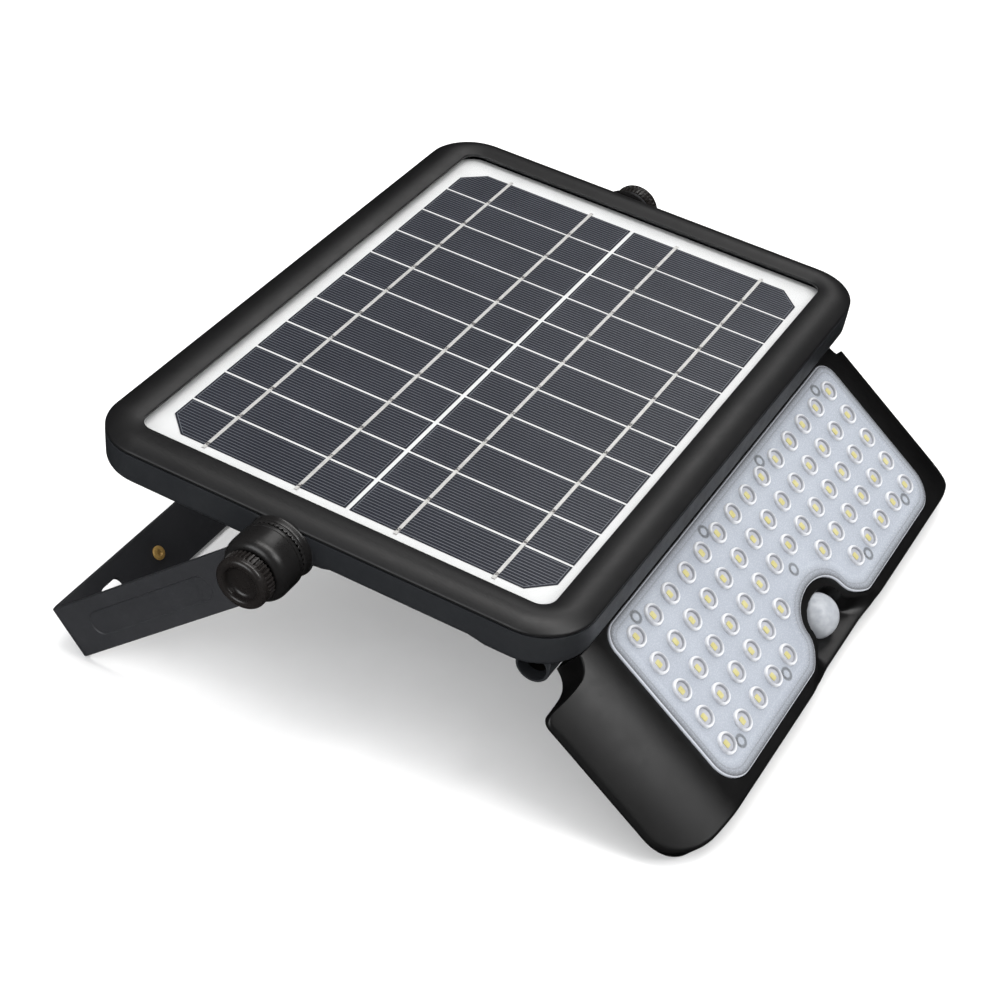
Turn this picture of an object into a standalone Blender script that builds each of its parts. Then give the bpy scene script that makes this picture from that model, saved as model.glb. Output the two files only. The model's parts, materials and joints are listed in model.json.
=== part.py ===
"""Solar flood light: a solar panel housing on a U bracket, with a hinged lamp head.

The housing is modelled in the panel's own frame: x runs along the hinge, -y is the lamp head's
side and z is the panel's normal.  The lamp then stands on the bracket's lower edge and on the
lamp head's front edge, with +Z up and its origin at the bottom centre of its box.
"""

import math

import bmesh
import bpy
from mathutils import Vector

MM = 0.001
GAP = 0.3

# Solar panel and its housing, in millimetres.
PANEL_HALF_X = 135.0
PANEL_HALF_Y = 98.0
PANEL_CORNER = 21.0
OPENING_HALF_X = 121.4
OPENING_HALF_Y = 83.5
OPENING_CORNER = 6.0
LIP_TOP = 3.7
CROWN_TOP = 4.8
LIP_UNDERSIDE = 2.3
BEZEL_SKIRT = 1.1
TRAY_RIM = -0.1
TRAY_BOTTOM = -13.0
TRAY_WALL = 2.2
GLASS_HALF_X = 124.0
GLASS_HALF_Y = 86.0
GLASS_TOP = 2.0
GLASS_THICKNESS = 1.65
BACKSHEET_TOP = -0.55
BACKSHEET_THICKNESS = 1.2

# Solar cells.
CELL_ROWS = 11
CELL_PITCH = 20.76
CELL_WIDTH = 19.5
CELL_INNER_Y = 0.84
CELL_OUTER_Y = 78.85
CELL_THICKNESS = 0.25
CELL_CHAMFER = 8.6
RIBBON_Y = (20.3, 59.3)
RIBBON_WIDTH = 1.4
RIBBON_OVERHANG = 1.8

# Bracket pivot and bracket.
PIVOT_Y = 13.0
PIVOT_Z = -9.0
BRACKET_ANGLE = -42.6
ARM_FACE_X = 150.5
RIGHT_ARM_FACE_X = 139.9
STRIP_THICKNESS = 2.5
STRIP_HALF_WIDTH = 10.6
WEB_FACE = 111.8
BEND_RADIUS = 6.0
WEB_CENTRE_X = -5.3
SLOT_REACH = 115.9
SLOT_LENGTH = 13.6
SLOT_HEIGHT = 8.0
INSERT_REACH = 87.7
STUD_RADIUS = 3.2
STUD_HOLE = 3.8
BOSS_RADIUS = 12.5
BOSS_FACE_X = 137.7
RIGHT_BOSS_FACE_X = 135.9
CUP_RADIUS = 13.0
CUP_START_X = 139.9
CUP_END_X = 152.9
KNOB_START_X = 153.3
KNOB_END_X = 160.4
RIGHT_KNOB_INSET = 12.0
KNOB_RADIUS = 10.2
KNOB_RIBS = 24
RING_TEETH = 18

# Lamp head, measured from its hinge: s runs down the slope, t is the normal.
HINGE_Y = -84.0
HINGE_Z = -17.0
HEAD_ANGLE = 35.485
LUG_RADIUS = 6.5
LUG_INNER_X = 111.6
LUG_OUTER_X = 129.0
BARREL_RADIUS = 6.3
BARREL_HALF_X = 111.2
PIN_RADIUS = 2.0
HEAD_HALF_X = 135.0
HEAD_FLAT_X = 104.0
HEAD_FRONT = 87.3
HEAD_BACK = 9.0
WING_BACK = 16.3
NECK_HALF_X = 113.5
HEAD_TOP = 7.2
WING_EDGE = -6.0
HEAD_BOTTOM = -7.8
WING_POWER = 1.7
HEAD_CORNER = 17.0
LENS_HALF_X = 101.4
LENS_BACK = 9.7
LENS_FRONT = 82.1
LENS_CORNER = 11.0
LENS_BOTTOM = 6.2
LENS_TOP = 8.2
DOME_RADIUS = 4.6
DOME_HEIGHT = 1.6
NOTCH_TOP = 60.7
NOTCH_WAIST = 71.7
NOTCH_WAIST_HALF = 17.0
NOTCH_MOUTH_HALF = 28.0
LAMP_PITCH_X = 13.75
LAMP_PITCH_S = 12.42
LAMP_LINE_ONE = 19.7
BOARD_TOP = 3.0
BOARD_THICKNESS = 1.6
SENSOR_S = 72.3
SENSOR_RADIUS = 9.0
SENSOR_BASE = 1.8
SCOOP_FLOOR = 0.8

# Screws, in pairs of x and y on the housing and of x and s on the lamp head.
HOUSING_SCREWS = [(-127.6, -60.0), (127.6, -60.0), (127.6, 64.0), (-127.6, 64.0)]
COVER_SCREWS = [(-74.6, -34.0), (74.6, -34.0), (74.6, 34.0), (-74.6, 34.0)]
HEAD_SCREWS = [(-103.0, 24.0), (103.0, 24.0), (103.0, 76.0), (-103.0, 76.0)]
BOARD_SCREWS = [(-83.0, 15.3), (-26.0, 15.3), (26.0, 15.3), (83.0, 15.3), (0.0, 52.1)]
BOARD_SCREWS += [(-83.0, 73.3), (-41.5, 73.3), (41.5, 73.3), (83.0, 73.3)]
BUTTON_X = 62.0
BUTTON_Y = -60.0

# Colour, roughness and metallic value of each material.
BLACK_PLASTIC = ((0.020, 0.020, 0.022), 0.42, 0.0)
HEAD_PLASTIC = ((0.018, 0.017, 0.018), 0.45, 0.0)
DARK_RUBBER = ((0.010, 0.010, 0.011), 0.75, 0.0)
POWDER_COAT = ((0.045, 0.049, 0.055), 0.50, 0.0)
CLEAR_SHEET = ((0.85, 0.88, 0.90), 0.05, 0.0)
WHITE_SHEET = ((0.75, 0.73, 0.70), 0.55, 0.0)
CELL_BLUE = ((0.022, 0.026, 0.042), 0.30, 0.0)
CELL_WRAP = ((0.05, 0.16, 0.30), 0.40, 0.0)
GREY_PLASTIC = ((0.20, 0.20, 0.21), 0.55, 0.0)
GREEN_BOARD = ((0.02, 0.13, 0.05), 0.45, 0.0)
STEEL = ((0.55, 0.55, 0.56), 0.32, 1.0)
BRASS = ((0.72, 0.52, 0.20), 0.30, 1.0)
FROSTED = ((0.82, 0.82, 0.80), 0.45, 0.0)
BOARD_WHITE = ((0.80, 0.80, 0.78), 0.50, 0.0)
LENS_CLEAR = ((0.80, 0.83, 0.85), 0.12, 0.0)


def clear_scene():
    for obj in list(bpy.data.objects):
        bpy.data.objects.remove(obj)


def finish_material(name, look):
    colour, roughness, metallic = look
    material = bpy.data.materials.new(name)
    material.use_nodes = True
    shader = material.node_tree.nodes["Principled BSDF"]
    shader.inputs["Base Color"].default_value = (*colour, 1.0)
    shader.inputs["Roughness"].default_value = roughness
    shader.inputs["Metallic"].default_value = metallic
    material.diffuse_color = (*colour, 1.0)
    return material


def pivot_empty(name, parent, location, angle):
    empty = bpy.data.objects.new(name, None)
    empty.empty_display_size = 0.02
    bpy.context.scene.collection.objects.link(empty)
    empty.parent = parent
    empty.location = Vector(location) * MM
    empty.rotation_euler.x = math.radians(angle)
    return empty


def solid(name, vertices, faces):
    mesh = bpy.data.meshes.new(name)
    mesh.from_pydata([Vector(vertex) * MM for vertex in vertices], [], faces)
    shape = bmesh.new()
    shape.from_mesh(mesh)
    bmesh.ops.recalc_face_normals(shape, faces=shape.faces)
    shape.to_mesh(mesh)
    shape.free()
    obj = bpy.data.objects.new(name, mesh)
    bpy.context.scene.collection.objects.link(obj)
    return obj


def ring_stack(name, rings, closed=False):
    """A solid skinned over rings of equal length: capped, or closed on itself."""
    count = len(rings[0])
    vertices = [point for ring in rings for point in ring]
    faces = []
    spans = len(rings) if closed else len(rings) - 1
    for level in range(spans):
        low = level * count
        high = (level + 1) % len(rings) * count
        for i in range(count):
            j = (i + 1) % count
            faces.append((low + i, low + j, high + j, high + i))
    if not closed:
        faces.append(tuple(reversed(range(count))))
        faces.append(tuple(range((len(rings) - 1) * count, len(rings) * count)))
    return solid(name, vertices, faces)


def on_axis(axis, a, b, height):
    if axis == "X":
        return (height, a, b)
    if axis == "Y":
        return (a, height, b)
    return (a, b, height)


def prism(name, outline, start, end, axis="Z"):
    rings = [[on_axis(axis, a, b, height) for a, b in outline] for height in (start, end)]
    return ring_stack(name, rings)


def block(name, low, high):
    outline = [(low[0], low[1]), (high[0], low[1]), (high[0], high[1]), (low[0], high[1])]
    return prism(name, outline, low[2], high[2])


def circle(radius, sides, centre=(0.0, 0.0)):
    step = 2.0 * math.pi / sides
    return [
        (centre[0] + radius * math.cos(step * (i + 0.5)), centre[1] + radius * math.sin(step * (i + 0.5)))
        for i in range(sides)
    ]


def turned(name, profile, sides, axis="Z", centre=(0.0, 0.0), closed=False):
    """A turned solid from (radius, height) pairs."""
    rings = []
    for radius, height in profile:
        rings.append([on_axis(axis, a, b, height) for a, b in circle(radius, sides, centre)])
    return ring_stack(name, rings, closed)


def arc(centre, radius, start, end, steps):
    points = []
    for i in range(steps + 1):
        angle = math.radians(start + (end - start) * i / steps)
        points.append((centre[0] + radius * math.cos(angle), centre[1] + radius * math.sin(angle)))
    return points


def rounded(half_x, half_y, radius, steps=5):
    x = half_x - radius
    y = half_y - radius
    outline = arc((x, y), radius, 0, 90, steps)
    outline += arc((-x, y), radius, 90, 180, steps)
    outline += arc((-x, -y), radius, 180, 270, steps)
    outline += arc((x, -y), radius, 270, 360, steps)
    return outline


def level_ring(half_x, half_y, radius, z, steps=4):
    return [(x, y, z) for x, y in rounded(half_x, half_y, radius, steps)]


def stadium(length, height, steps=6):
    reach = (length - height) / 2.0
    outline = arc((reach, 0.0), height / 2.0, -90, 90, steps)
    outline += arc((-reach, 0.0), height / 2.0, 90, 270, steps)
    return outline


def moved(outline, a, b):
    return [(x + a, y + b) for x, y in outline]


def joined(name, pieces):
    """Several closed shapes in one mesh, for use as one Boolean tool."""
    vertices = []
    faces = []
    for piece in pieces:
        start = len(vertices)
        vertices += [tuple(vertex.co / MM) for vertex in piece.data.vertices]
        faces += [tuple(start + i for i in face.vertices) for face in piece.data.polygons]
        bpy.data.objects.remove(piece)
    return solid(name, vertices, faces)


def combine(target, tool, operation):
    step = target.modifiers.new(operation.title(), "BOOLEAN")
    step.operation = operation
    step.solver = "EXACT"
    step.object = tool
    bpy.context.view_layer.update()
    depsgraph = bpy.context.evaluated_depsgraph_get()
    result = bpy.data.meshes.new_from_object(target.evaluated_get(depsgraph))
    target.modifiers.clear()
    target.data = result
    bpy.data.objects.remove(tool)
    return target


def add(target, tool):
    return combine(target, tool, "UNION")


def cut(target, tool):
    return combine(target, tool, "DIFFERENCE")


def keep(target, tool):
    return combine(target, tool, "INTERSECT")


def place(obj, parent, look, location=(0.0, 0.0, 0.0), rotation=(0.0, 0.0, 0.0)):
    obj.parent = parent
    obj.location = Vector(location) * MM
    obj.rotation_euler = [math.radians(angle) for angle in rotation]
    obj.data.materials.clear()
    obj.data.materials.append(finish_material(obj.name, look))
    obj.data.name = obj.name
    obj.data.shade_smooth()
    obj.data.set_sharp_from_angle(angle=math.radians(32.0))
    return obj


def sided(name, side):
    return name + ("_left" if side < 0 else "_right")


def screw(name, parent, location, rotation, head_radius=2.6, head=0.8, shaft=8.0, shaft_radius=1.1):
    """A pan head screw whose shaft runs along local +z."""
    profile = [(head_radius * 0.8, -head), (head_radius, -head * 0.5), (head_radius, 0.0)]
    profile += [(shaft_radius, 0.0), (shaft_radius, shaft)]
    return place(turned(name, profile, 8), parent, STEEL, location, rotation)


# Panel housing.


def make_back_housing(lamp):
    half_x, half_y, corner = PANEL_HALF_X, PANEL_HALF_Y, PANEL_CORNER
    rings = []
    for inset, z in ((3.5, TRAY_BOTTOM), (1.4, TRAY_BOTTOM + 1.0), (0.3, TRAY_BOTTOM + 4.0), (0.0, TRAY_RIM)):
        rings.append(level_ring(half_x - inset, half_y - inset, corner - inset, z))
    floor = TRAY_BOTTOM + TRAY_WALL
    for inset, z in ((TRAY_WALL, TRAY_RIM), (TRAY_WALL + 0.3, floor + 2.5), (TRAY_WALL + 2.0, floor)):
        rings.append(level_ring(half_x - inset, half_y - inset, corner - inset, z))
    tray = ring_stack("back_housing", rings)
    belly = []
    for inset, z in ((2.6, -26.0), (0.0, -23.4), (0.0, -12.0)):
        belly.append(level_ring(82.0 - inset, 46.0 - inset, 9.0 - inset, z, 2))
    add(tray, ring_stack("belly", belly))
    cut(tray, prism("pocket", rounded(72.0, 38.0, 3.0, 2), -24.5, -9.0))
    cut(tray, prism("rebate", rounded(77.3, 41.3, 4.0, 3), -27.0, -23.7))
    add(tray, block("hinge_step", (-114.0, -94.0, -11.5), (114.0, -73.5, -7.0)))
    for side in (-1, 1):
        add_pivot_boss(tray, side)
        add_hinge_lug(tray, side)
    groove = [(LUG_RADIUS + 0.8, -LUG_INNER_X + 0.1), (LUG_RADIUS + 0.8, LUG_INNER_X - 0.1)]
    cut(tray, turned("groove", groove, 20, "X", (HINGE_Y, HINGE_Z)))
    cut_housing_screws(tray)
    cut(tray, turned("button_hole", [(6.1, -14.0), (6.1, -9.0)], 16, "Z", (BUTTON_X, BUTTON_Y)))
    return place(tray, lamp, BLACK_PLASTIC)


def add_pivot_boss(tray, side):
    centre = (PIVOT_Y, PIVOT_Z)
    face = BOSS_FACE_X if side < 0 else RIGHT_BOSS_FACE_X
    flare = [(7.9, 117.0), (8.2, 131.0), (BOSS_RADIUS, 134.6), (BOSS_RADIUS, face)]
    boss = turned("boss", [(r, x * side) for r, x in flare], 18, "X", centre)
    for reach, level in ((PANEL_HALF_X + GAP, TRAY_RIM), (GLASS_HALF_X + 0.6, -2.1)):
        low, high = sorted((110.0 * side, reach * side))
        cut(boss, block("clearance", (low, PIVOT_Y - 20.0, level), (high, PIVOT_Y + 20.0, 20.0)))
    add(tray, boss)
    bore = [(5.8, 119.0), (5.8, 134.3), (STUD_HOLE, 134.3), (STUD_HOLE, 140.0)]
    cut(tray, turned("bore", [(r, x * side) for r, x in bore], 12, "X", centre))


def add_hinge_lug(tray, side):
    centre = (HINGE_Y, HINGE_Z)
    lug = turned("lug", [(LUG_RADIUS, LUG_INNER_X * side), (LUG_RADIUS, LUG_OUTER_X * side)], 16, "X", centre)
    low, high = sorted((LUG_INNER_X * side, LUG_OUTER_X * side))
    web = block("web", (low, HINGE_Y - LUG_RADIUS, HINGE_Z), (high, HINGE_Y + LUG_RADIUS, TRAY_BOTTOM + 0.7))
    add(lug, web)
    add(tray, lug)
    bore = [(PIN_RADIUS + 0.3, 109.0), (PIN_RADIUS + 0.3, 126.0), (3.9, 126.0), (3.9, 131.0)]
    cut(tray, turned("bore", [(r, x * side) for r, x in bore], 12, "X", centre))


def cut_housing_screws(tray):
    seats = []
    for spot in HOUSING_SCREWS:
        seats.append(turned("seat", [(3.0, -14.0), (3.0, -11.8), (1.5, -11.8), (1.5, -10.0)], 8, "Z", spot))
    for spot in COVER_SCREWS:
        seats.append(turned("seat", [(1.5, -25.0), (1.5, -15.0)], 8, "Z", spot))
    cut(tray, joined("seats", seats))


def make_front_bezel(lamp):
    hx, hy = OPENING_HALF_X, OPENING_HALF_Y
    rings = []
    profile = [(0.0, LIP_UNDERSIDE), (0.0, LIP_TOP - 0.3), (0.4, LIP_TOP), (3.0, 4.5), (5.8, CROWN_TOP)]
    profile += [(8.8, 4.2), (11.6, 3.0), (13.2, 1.9), (13.6, BEZEL_SKIRT), (10.4, BEZEL_SKIRT)]
    profile += [(10.0, LIP_UNDERSIDE)]
    for out, z in profile:
        share = out / (PANEL_HALF_X - OPENING_HALF_X)
        grow = out + (PANEL_HALF_Y - OPENING_HALF_Y - (PANEL_HALF_X - OPENING_HALF_X)) * share
        corner = OPENING_CORNER + (PANEL_CORNER - OPENING_CORNER) * share
        rings.append(level_ring(hx + out, hy + grow, corner, z))
    bezel = ring_stack("front_bezel", rings, closed=True)
    for spot in HOUSING_SCREWS:
        add(bezel, turned("post", [(3.0, -10.4), (3.0, 3.2)], 8, "Z", spot))
        cut(bezel, turned("bore", [(1.4, -12.0), (1.4, -2.5)], 8, "Z", spot))
    return place(bezel, lamp, BLACK_PLASTIC)


def make_bezel_gasket(lamp):
    rings = []
    for inset, z in ((1.4, 0.2), (1.4, 0.8), (5.0, 0.8), (5.0, 0.2)):
        rings.append(level_ring(PANEL_HALF_X - inset, PANEL_HALF_Y - inset, PANEL_CORNER - inset, z))
    gasket = ring_stack("bezel_gasket", rings, closed=True)
    for spot in HOUSING_SCREWS:
        cut(gasket, turned("relief", [(3.4, -2.0), (3.4, 2.0)], 8, "Z", spot))
    return place(gasket, lamp, DARK_RUBBER)


def make_panel_sheets(lamp):
    low = GLASS_TOP - GLASS_THICKNESS
    glass = prism("panel_glass", rounded(GLASS_HALF_X, GLASS_HALF_Y, 8.0, 3), low, GLASS_TOP)
    place(glass, lamp, CLEAR_SHEET)
    low = BACKSHEET_TOP - BACKSHEET_THICKNESS
    sheet = prism("solar_backsheet", rounded(GLASS_HALF_X, GLASS_HALF_Y, 8.0, 3), low, BACKSHEET_TOP)
    place(sheet, lamp, WHITE_SHEET)


def make_cell_string(lamp, side):
    """Eleven cells in a row along x, held together by two ribbons, as one flat plate."""
    pieces = []
    half = CELL_WIDTH / 2.0
    for row in range(CELL_ROWS):
        x = (row - (CELL_ROWS - 1) / 2.0) * CELL_PITCH
        outline = cell_outline(x - half, x + half, row)
        outline = [(a, b * side) for a, b in outline]
        pieces.append(prism("cell", outline, -CELL_THICKNESS, 0.0))
    cells = joined(sided("cell_string", side), pieces)
    reach = CELL_PITCH * (CELL_ROWS - 1) / 2.0 + half + RIBBON_OVERHANG
    ribbons = []
    for y in RIBBON_Y:
        low = (-reach, y * side - RIBBON_WIDTH / 2.0, -CELL_THICKNESS + 0.05)
        high = (reach, y * side + RIBBON_WIDTH / 2.0, 0.04)
        ribbons.append(block("ribbon", low, high))
    add(cells, joined("ribbons", ribbons))
    place(cells, lamp, CELL_BLUE)


def cell_outline(low, high, row):
    inner, outer, chamfer = CELL_INNER_Y, CELL_OUTER_Y, CELL_CHAMFER
    outline = [(low, inner), (high, inner)]
    if row == CELL_ROWS - 1:
        outline += [(high, outer - chamfer), (high - chamfer, outer)]
    else:
        outline.append((high, outer))
    if row == 0:
        outline += [(low + chamfer, outer), (low, outer - chamfer)]
    else:
        outline.append((low, outer))
    return outline


def make_battery(lamp):
    for number, y in enumerate((-20.0, 0.0, 20.0), start=1):
        profile = [(9.2, -66.0), (9.2, -2.2), (3.4, -2.2), (3.4, -1.2)]
        cell = turned("battery_cell_%d" % number, profile, 12, "X")
        place(cell, lamp, CELL_WRAP, (0.0, y, -12.4))
    outline = [(-70.0, -23.4), (2.8, -23.4), (2.8, -9.0), (1.2, -9.0), (1.2, -21.9), (-67.4, -21.9)]
    outline += [(-67.4, -9.0), (-70.0, -9.0)]
    tray = prism("battery_tray", outline, -31.0, 31.0, "Y")
    place(tray, lamp, GREY_PLASTIC)


def make_charge_board(lamp):
    board = block("charge_board", (8.0, -28.0, -16.0), (66.0, 28.0, -14.4))
    add(board, block("coil", (14.0, -20.0, -15.0), (26.0, -8.0, -8.0)))
    add(board, block("plug", (48.0, 10.0, -15.0), (62.0, 22.0, -9.0)))
    add(board, block("chip", (36.0, -14.0, -15.0), (46.0, -4.0, -13.0)))
    return place(board, lamp, GREEN_BOARD)


def make_switch(lamp):
    x, y = BUTTON_X, BUTTON_Y
    body = block("switch_body", (-7.0, -7.0, 0.0), (7.0, 7.0, 4.6))
    place(body, lamp, GREY_PLASTIC, (x, y, -7.6))
    profile = [(4.8, 0.0), (5.7, 0.6), (5.7, 4.1), (7.4, 4.1), (7.4, 5.3)]
    button = turned("power_button", profile, 16)
    place(button, lamp, DARK_RUBBER, (x, y, -14.6))


def make_battery_cover(lamp):
    cover = prism("battery_cover", rounded(77.0, 41.0, 3.7, 3), -26.0, -24.0)
    seats = []
    for spot in COVER_SCREWS:
        seats.append(turned("seat", [(2.3, -27.0), (2.3, -25.0), (1.5, -25.0), (1.5, -23.0)], 8, "Z", spot))
    cut(cover, joined("seats", seats))
    place(cover, lamp, BLACK_PLASTIC)
    for number, (x, y) in enumerate(COVER_SCREWS, start=1):
        screw("cover_screw_%d" % number, lamp, (x, y, -25.3), (0, 0, 0), 2.0, 0.6, 8.0)


def make_housing_screws(lamp):
    for number, (x, y) in enumerate(HOUSING_SCREWS, start=1):
        screw("housing_screw_%d" % number, lamp, (x, y, -12.1), (0, 0, 0), 2.6, 0.8, 8.6)


def make_pivot_hardware(lamp, side):
    turn = (0.0, 90.0 * side, 0.0)
    profile = [(3.5, -9.8), (5.5, -9.8), (5.5, -1.0), (3.5, -1.0)]
    insert = turned(sided("pivot_insert", side), profile, 12, closed=True)
    place(insert, lamp, BRASS, (135.0 * side, PIVOT_Y, PIVOT_Z), turn)
    start, thickness = (138.0, 1.6) if side < 0 else (136.2, 0.9)
    ring = prism(sided("detent_ring", side), toothed(12.3, 11.5, RING_TEETH), 0.0, thickness)
    cut(ring, turned("bore", [(7.5, -1.0), (7.5, 3.0)], 16))
    place(ring, lamp, BLACK_PLASTIC, (start * side, PIVOT_Y, PIVOT_Z), turn)


def toothed(outer, inner, teeth):
    points = []
    for i in range(teeth * 2):
        angle = math.pi * i / teeth
        radius = outer if i % 2 == 0 else inner
        points.append((radius * math.cos(angle), radius * math.sin(angle)))
    return points


def make_hinge_pin(lamp, side):
    profile = [(PIN_RADIUS, -29.0), (PIN_RADIUS, 0.0), (3.5, 0.0), (3.5, 1.4), (2.8, 2.0)]
    pin = turned(sided("hinge_pin", side), profile, 12)
    cut(pin, turned("recess", [(1.6, 0.9), (1.6, 4.0)], 6))
    place(pin, lamp, STEEL, (126.3 * side, HINGE_Y, HINGE_Z), (0.0, 90.0 * side, 0.0))


# Bracket, in its own frame: +y runs along the arms, away from the pivot.


def make_bracket(pivot):
    radius = BEND_RADIUS
    small = BEND_RADIUS - STRIP_THICKNESS
    left = -ARM_FACE_X + radius
    right = RIGHT_ARM_FACE_X - radius
    y = WEB_FACE - radius
    outer = [(-ARM_FACE_X, -12.0)] + arc((left, y), radius, 180, 90, 5)
    outer += arc((right, y), radius, 90, 0, 5) + [(RIGHT_ARM_FACE_X, -12.0)]
    inner = [(-ARM_FACE_X + STRIP_THICKNESS, -12.0)] + arc((left, y), small, 180, 90, 5)
    inner += arc((right, y), small, 90, 0, 5) + [(RIGHT_ARM_FACE_X - STRIP_THICKNESS, -12.0)]
    strip = prism("mounting_bracket", outer + inner[::-1], -STRIP_HALF_WIDTH, STRIP_HALF_WIDTH)
    side_view = arc((0.0, 0.0), STRIP_HALF_WIDTH - 0.001, 90, 270, 12)
    side_view += [(WEB_FACE + 5.0, -STRIP_HALF_WIDTH - 1.0), (WEB_FACE + 5.0, STRIP_HALF_WIDTH + 1.0)]
    side_view.insert(0, (0.0, STRIP_HALF_WIDTH + 1.0))
    side_view.insert(-2, (0.0, -STRIP_HALF_WIDTH - 1.0))
    keep(strip, prism("side_view", side_view, -160.0, 160.0, "X"))
    cut(strip, joined("holes", bracket_holes()))
    return place(strip, pivot, POWDER_COAT)


def bracket_holes():
    tools = [turned("stud_hole", [(STUD_HOLE, -155.0), (STUD_HOLE, 155.0)], 20, "X")]
    tools.append(turned("centre_hole", [(4.2, 100.0), (4.2, 115.0)], 20, "Y", (WEB_CENTRE_X, 0.0)))
    for side in (-1, 1):
        slot = moved(stadium(SLOT_LENGTH, SLOT_HEIGHT), WEB_CENTRE_X + SLOT_REACH * side, 0.0)
        tools.append(prism("slot", slot, 100.0, 115.0, "Y"))
        spot = (WEB_CENTRE_X + INSERT_REACH * side, 0.0)
        tools.append(turned("insert_hole", [(2.2, 100.0), (2.2, 115.0)], 12, "Y", spot))
        recess = moved(stadium(68.0, 9.4), 59.0, 0.0)
        face = ARM_FACE_X if side < 0 else RIGHT_ARM_FACE_X
        low, high = sorted(((face - 0.4) * side, (face + 3.0) * side))
        tools.append(prism("recess", recess, low, high, "X"))
    return tools


def make_web_insert(pivot, side):
    profile = [(2.0, -0.9), (2.5, -0.6), (2.5, 0.0), (1.9, 0.0), (1.9, 2.8)]
    insert = turned(sided("web_insert", side), profile, 12)
    cut(insert, turned("thread", [(1.0, -2.0), (1.0, 1.6)], 8))
    face = WEB_FACE - STRIP_THICKNESS - GAP
    x = WEB_CENTRE_X + INSERT_REACH * side
    place(insert, pivot, BRASS, (x, face, 0.0), (-90.0, 0.0, 0.0))


def make_pivot_cup(pivot, side):
    """The left pivot has a deep cup round the arm's end, the right one a flat collar."""
    profile = [(12.2, CUP_START_X), (CUP_RADIUS, CUP_START_X + 1.6), (CUP_RADIUS, 149.1)]
    profile += [(12.0, 151.7), (10.6, CUP_END_X)]
    if side > 0:
        profile = [(9.2, 140.2), (9.6, 140.4), (9.6, 140.8), (9.2, 141.0)]
    cup = turned(sided("pivot_cup", side), [(r, x * side) for r, x in profile], 20, "X")
    cut(cup, turned("bore", [(STUD_HOLE, 130.0 * side), (STUD_HOLE, 160.0 * side)], 16, "X"))
    if side < 0:
        half = STRIP_HALF_WIDTH + GAP
        seat = arc((0.0, 0.0), half, 90, 270, 10) + [(30.0, -half), (30.0, half)]
        low, high = -ARM_FACE_X - GAP, -ARM_FACE_X + STRIP_THICKNESS + GAP
        cut(cup, prism("seat", seat, low, high, "X"))
    place(cup, pivot, BLACK_PLASTIC)


def make_knob(pivot, side):
    inset = RIGHT_KNOB_INSET if side > 0 else 0.0
    rings = []
    sections = [(1.0, KNOB_START_X), (1.0, KNOB_END_X - 1.0), (0.92, KNOB_END_X)]
    for share, x in sections:
        outline = toothed(KNOB_RADIUS * share, (KNOB_RADIUS - 0.7) * share, KNOB_RIBS)
        rings.append([((x - inset) * side, a, b) for a, b in outline])
    knob = ring_stack(sided("knob", side), rings)
    dish = [(r, (x - inset) * side) for r, x in ((5.2, 157.4), (6.2, 158.4), (6.5, 163.0))]
    cut(knob, turned("dish", dish, 20, "X"))
    bore = [(STUD_RADIUS + GAP, (x - inset) * side) for x in (150.0, 155.6)]
    cut(knob, turned("bore", bore, 16, "X"))
    place(knob, pivot, BLACK_PLASTIC)
    profile = [(2.6, 124.4), (STUD_RADIUS, 125.2), (STUD_RADIUS, 155.3 - inset)]
    stud = turned(sided("knob_stud", side), profile, 12)
    place(stud, pivot, STEEL, (0.0, 0.0, 0.0), (0.0, 90.0 * side, 0.0))


# Lamp head, in its hinge's frame: -y runs down the slope and z is the normal.


def wing_height(x):
    share = max(0.0, (abs(x) - HEAD_FLAT_X) / (HEAD_HALF_X - HEAD_FLAT_X))
    return HEAD_TOP - (HEAD_TOP - WING_EDGE) * share ** WING_POWER


def wing_points(inset):
    steps = 8
    points = []
    for i in range(steps + 1):
        x = HEAD_FLAT_X + (HEAD_HALF_X - HEAD_FLAT_X) * i / steps
        points.append((x, wing_height(x) - inset))
    return points


def head_outline(inset):
    """The shell's outline seen along its normal, with front corners and stepped back corners."""
    wide = HEAD_HALF_X - inset
    neck = NECK_HALF_X - inset
    corner = HEAD_CORNER - inset * 0.5
    front = HEAD_FRONT - inset
    right = [(neck, -HEAD_BACK - inset), (neck, -WING_BACK - inset + 3.0), (neck + 3.0, -WING_BACK - inset)]
    right.append((wide, -WING_BACK - inset))
    right += arc((wide - corner, -front + corner), corner, 0, -90, 6)
    return right + [(-x, y) for x, y in reversed(right)]


def lens_outline(inset):
    wide = LENS_HALF_X - inset
    back = -LENS_BACK - inset
    front = -LENS_FRONT + inset
    r = LENS_CORNER - inset * 0.5
    right = arc((wide - r, back - r), r, 90, 0, 4) + arc((wide - r, front + r), r, 0, -90, 4)
    right += notch_side(inset)
    return right + [(-x, y) for x, y in reversed(right)]


def notch_side(inset):
    points = []
    front = LENS_FRONT - inset
    for i in range(5):
        share = 1.0 - i / 4.0
        half = NOTCH_WAIST_HALF + (NOTCH_MOUTH_HALF - NOTCH_WAIST_HALF) * share * share
        points.append((half + inset, -(NOTCH_WAIST + (front - NOTCH_WAIST) * share)))
    for i in range(1, 6):
        angle = math.radians(90.0 * i / 6.0)
        half = (NOTCH_WAIST_HALF + inset) * math.cos(angle)
        points.append((half, -NOTCH_WAIST + (NOTCH_WAIST - NOTCH_TOP + inset) * math.sin(angle)))
    return points


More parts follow.
